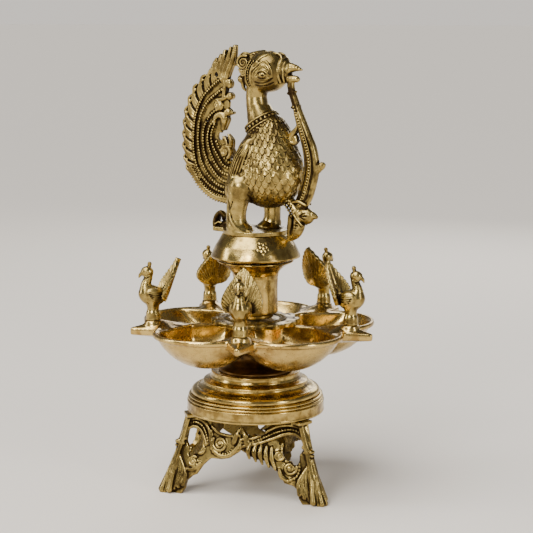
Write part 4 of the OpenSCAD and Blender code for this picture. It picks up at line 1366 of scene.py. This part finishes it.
def garland_mesh():
    """The garland that hangs from the beak: three strands, a side hook, a bud and a leaf."""
    f = Field((22, -7.5, 195), (62.5, 7.5, 324), 0.42)
    middle = [
        (30.4, 318.5), (30.6, 313.5), (33.0, 306.5), (36.0, 297.6), (39.5, 287.6), (43.2, 278),
        (46.7, 268), (48.6, 256), (47.0, 245), (43.4, 233), (39.8, 226),
    ]
    width = [2.4, 2.4, 2.4, 2.6, 3.5, 4.0, 4.8, 5.3, 5.4, 5.4, 4.8]
    path, half = smooth_path(flat_line(middle, 0), 40, width)
    step = np.gradient(path[:, [0, 2]], axis=0)
    step /= np.linalg.norm(step, axis=1)[:, None]
    out = np.column_stack([-step[:, 1], step[:, 0]])
    mid = path[:, [0, 2]]
    f.tube(flat_line(mid, 0), np.maximum(half[::4] * 0.75, 1.6), 0, flat=(1, 0.85, 1))
    outer = mid + out * (half[:, None] - 1.2)
    inner = mid - out * (half[:, None] - 1.2)
    f.tube(flat_line(outer[::3], 0), [1.7, 2.2, 2.4, 2.4, 2.2], 0.4, flat=(1, 1.45, 1))
    f.tube(flat_line(inner[::3], 0), [1.3, 1.5, 1.8, 1.8, 1.6], 0.4, flat=(1, 1.5, 1))
    for way in (-1, 1):
        f.beads(flat_line((mid - out * 0.4)[8:], 3.2 * way), 2.1, 1.05, 0.2)
        f.tube(flat_line((mid - out * 1.6)[10::3], 3.2 * way), 0.5, 0.2)
        f.tube(flat_line((mid + out * 1.1)[10::3], 3.4 * way), 0.5, 0.2)
        hook = [
            (39, 288), (37.0, 283.4), (33.8, 279.8), (31, 276.2), (31.4, 273.2), (34.2, 272.0), (36.6, 274),
        ]
        f.tube(flat_line(hook, 1.6 * way), [1.2, 1.7, 2.0, 2.0, 1.9, 1.7, 1.2], 0.4)
    f.ball((34.5, 0, 275.6), (3.4, 2.4, 3.6), 0.5)
    f.tube(flat_line([(31.4, 320.4), (30.6, 315)], 0), [3.0, 2.6], 0.6, straight=True)
    for px, pz in ((31.8, 310), (35.2, 299.6)):
        band = [(px - 2.6, pz - 0.8), (px + 2.6, pz + 0.6)]
        f.tube(flat_line(band, 0), 1.25, 0.3, flat=(1, 2.1, 1), straight=True)
    # bud on the outer edge
    f.tube(flat_line([(52.6, 250.5), (55.5, 254.5), (58.2, 256.4)], 0), [2.2, 3.2, 2.3], 0.8)
    f.ball((57.2, 0, 255.8), (2.7, 3.2, 3.0), 0.5)
    # strand under the belly, crossing band, bud and hanging leaf
    strand = [(27, 231), (32, 226.5), (36.5, 221), (38, 217)]
    f.tube(flat_line(strand, 0), [3.0, 3.6, 3.8, 3.0], 0.8, flat=(1, 1.2, 1))
    for way in (-1, 1):
        f.beads(flat_line([(27.5, 230), (32.4, 225.6), (36, 220)], 4.2 * way), 2.3, 1.2, 0.3)
        f.beads(flat_line([(25.5, 227), (29.6, 222.6), (33.5, 217)], 2.8 * way), 2.3, 1.2, 0.3)
        f.tube(flat_line([(34.6, 227.6), (39.4, 228.4), (45.6, 226)], 4.0 * way), [0.9, 1.2, 0.9], 0.3)
        f.tube(flat_line([(34.2, 221), (38, 215.4), (42.6, 210.4)], 3.9 * way), [0.9, 1.2, 0.9], 0.3)
    f.ball((43.6, 0, 217.4), (7.4, 5.2, 6.4), 1.0, turn_about(1, 20))
    f.tube(flat_line([(46, 217.6), (50, 217.8), (52.6, 217.0)], 0), [4.4, 3.0, 1.7], 0.8)
    for way in (-1, 1):
        for tip in ((48.5, 221.2), (49.4, 217.4), (47.6, 213.4)):
            root = np.array([40.6, 217.2])
            bend = (root + tip) / 2 + (0, 0.4)
            f.tube(flat_line([root, bend, tip], 4.6 * way), [0.5, 0.55, 0.4], 0.2, cut=True)
    leaf = [(37, 216), (38.4, 211), (36.4, 204.6), (32.4, 200), (28.4, 197.4)]
    f.tube(flat_line(leaf, 0), [3.6, 5.0, 4.4, 2.6, 0.8], 0.8, flat=(1, 0.75, 1))
    f.tube(flat_line([(31, 216), (30.4, 209), (29.6, 203), (28.8, 198.4)], 0), [2.2, 2.4, 1.8, 0.9], 0.6)
    for way in (-1, 1):
        f.tube(flat_line([(37.4, 213), (36.4, 206.4), (33, 201)], 3.5 * way), 0.45, 0.2, cut=True)
        for k in range(5):
            root = np.array([37.2 - 1.1 * k, 211.6 - 2.2 * k])
            for out in ((3.2 - 0.4 * k, 0.6), (-3.0 + 0.3 * k, 1.2)):
                vein = flat_line([root, root + out], 3.2 * way)
                f.tube(vein, 0.4, 0.2, cut=True, straight=True)
    return f.mesh()


def build_large_peacock():
    add_object("large_peacock_body", torso_mesh(), "top", ANTIQUE, ["peacock_body"])
    add_object("large_peacock_head", head_mesh(), "top", ANTIQUE)
    add_object("tail_plume_casting", tail_mesh(), "top", ANTIQUE, ["tail_plume"])
    add_object("beak_garland_casting", garland_mesh(), "top", ANTIQUE, ["beak_garland"])


# ---------------------------------------------------------------- fasteners, floor, light, camera


def finish_fasteners():
    """The nuts, screws and rod keep their CAD shape and get their own steel."""
    for node in ("stand_screws", "stem_nut", "tie_rod", "tie_nut", "figure_screws"):
        slots = frame["nodes"][node].material_slots
        for slot in slots:
            slot.material = STEEL


def build_floor():
    """A plain pale floor that reaches the horizon."""
    size = 60.0
    corners = [(-size, -size, 0), (size, -size, 0), (size, size, 0), (-size, size, 0)]
    data = bpy.data.meshes.new("floor")
    data.from_pydata(corners, [], [(0, 1, 2, 3)])
    floor = bpy.data.objects.new("floor", data)
    bpy.context.scene.collection.objects.link(floor)
    paint = bpy.data.materials.new("pale_floor")
    paint.use_nodes = True
    shader = paint.node_tree.nodes["Principled BSDF"]
    shader.inputs["Base Color"].default_value = (0.74, 0.68, 0.60, 1)
    shader.inputs["Roughness"].default_value = 0.7
    data.materials.append(paint)


def softbox(name, at, size, power, colour=(1, 1, 1)):
    """A rectangular studio light that looks at the middle of the lamp; at and size in metres."""
    light = bpy.data.lights.new(name, "AREA")
    light.shape = "RECTANGLE"
    light.size, light.size_y = size
    light.energy = power
    light.color = colour
    holder = bpy.data.objects.new(name, light)
    bpy.context.scene.collection.objects.link(holder)
    holder.location = at
    aim = np.array([0, 0, 0.17]) - np.array(at)
    heading = math.atan2(aim[1], aim[0]) - math.pi / 2
    pitch = math.atan2(aim[2], math.hypot(aim[0], aim[1])) + math.pi / 2
    holder.rotation_euler = (pitch, 0, heading)


def build_light():
    """A soft room: the world is pale near the horizon and dark above, with a sun and softboxes."""
    world = bpy.data.worlds.new("studio")
    bpy.context.scene.world = world
    world.use_nodes = True
    tree = world.node_tree
    back = tree.nodes["Background"]
    where = tree.nodes.new("ShaderNodeTexCoord")
    split = tree.nodes.new("ShaderNodeSeparateXYZ")
    ramp = tree.nodes.new("ShaderNodeValToRGB")
    stops = ramp.color_ramp.elements
    stops[0].position = 0.02
    stops[0].color = (0.86, 0.804, 0.735, 1)
    stops[1].position = 1.0
    stops[1].color = (0.10, 0.10, 0.11, 1)
    for position, grey in ((0.06, 0.42), (0.30, 0.22), (0.6, 0.12)):
        stops.new(position).color = (grey, grey * 0.98, grey * 0.95, 1)
    tree.links.new(where.outputs["Generated"], split.inputs["Vector"])
    tree.links.new(split.outputs["Z"], ramp.inputs["Fac"])
    tree.links.new(ramp.outputs["Color"], back.inputs["Color"])
    back.inputs["Strength"].default_value = 1.0
    sky = bpy.data.lights.new("overhead", "SUN")
    sky.energy = 3.9
    sky.angle = math.radians(50)
    holder = bpy.data.objects.new("overhead", sky)
    bpy.context.scene.collection.objects.link(holder)
    holder.rotation_euler = (math.radians(24), math.radians(-12), 0)
    softbox("key", (0.1, -1.3, 0.8), (0.5, 0.4), 13)
    softbox("left", (-1.2, -0.75, 0.65), (0.3, 0.9), 7)
    softbox("right", (1.45, -0.3, 0.55), (0.25, 0.8), 7)
    softbox("back", (-0.3, 1.4, 0.7), (1.0, 0.5), 6)


CAMERA_TURN = 30.0  # degrees from straight in front, towards the peacock's head
CAMERA_AWAY = 1.1913
CAMERA_UP = 0.3662
CAMERA_PITCH = 9.114
CAMERA_YAW = 0.408


def build_camera():
    lens = bpy.data.cameras.new("camera")
    lens.lens = 105.2
    lens.sensor_width = 36.0
    lens.clip_start, lens.clip_end = 0.05, 100
    camera = bpy.data.objects.new("camera", lens)
    bpy.context.scene.collection.objects.link(camera)
    turn = math.radians(CAMERA_TURN)
    camera.location = (CAMERA_AWAY * math.sin(turn), -CAMERA_AWAY * math.cos(turn), CAMERA_UP)
    camera.rotation_euler = (math.radians(90 - CAMERA_PITCH), 0, math.radians(CAMERA_TURN - CAMERA_YAW))
    bpy.context.scene.camera = camera


build_camera()
build_light()
build_floor()
build_stand()
build_plinth()
build_stem()
build_tray()
build_disc()
build_column()
build_cap()
build_small_peacocks()
build_large_peacock()
finish_fasteners()

bpy.context.view_layer.update()
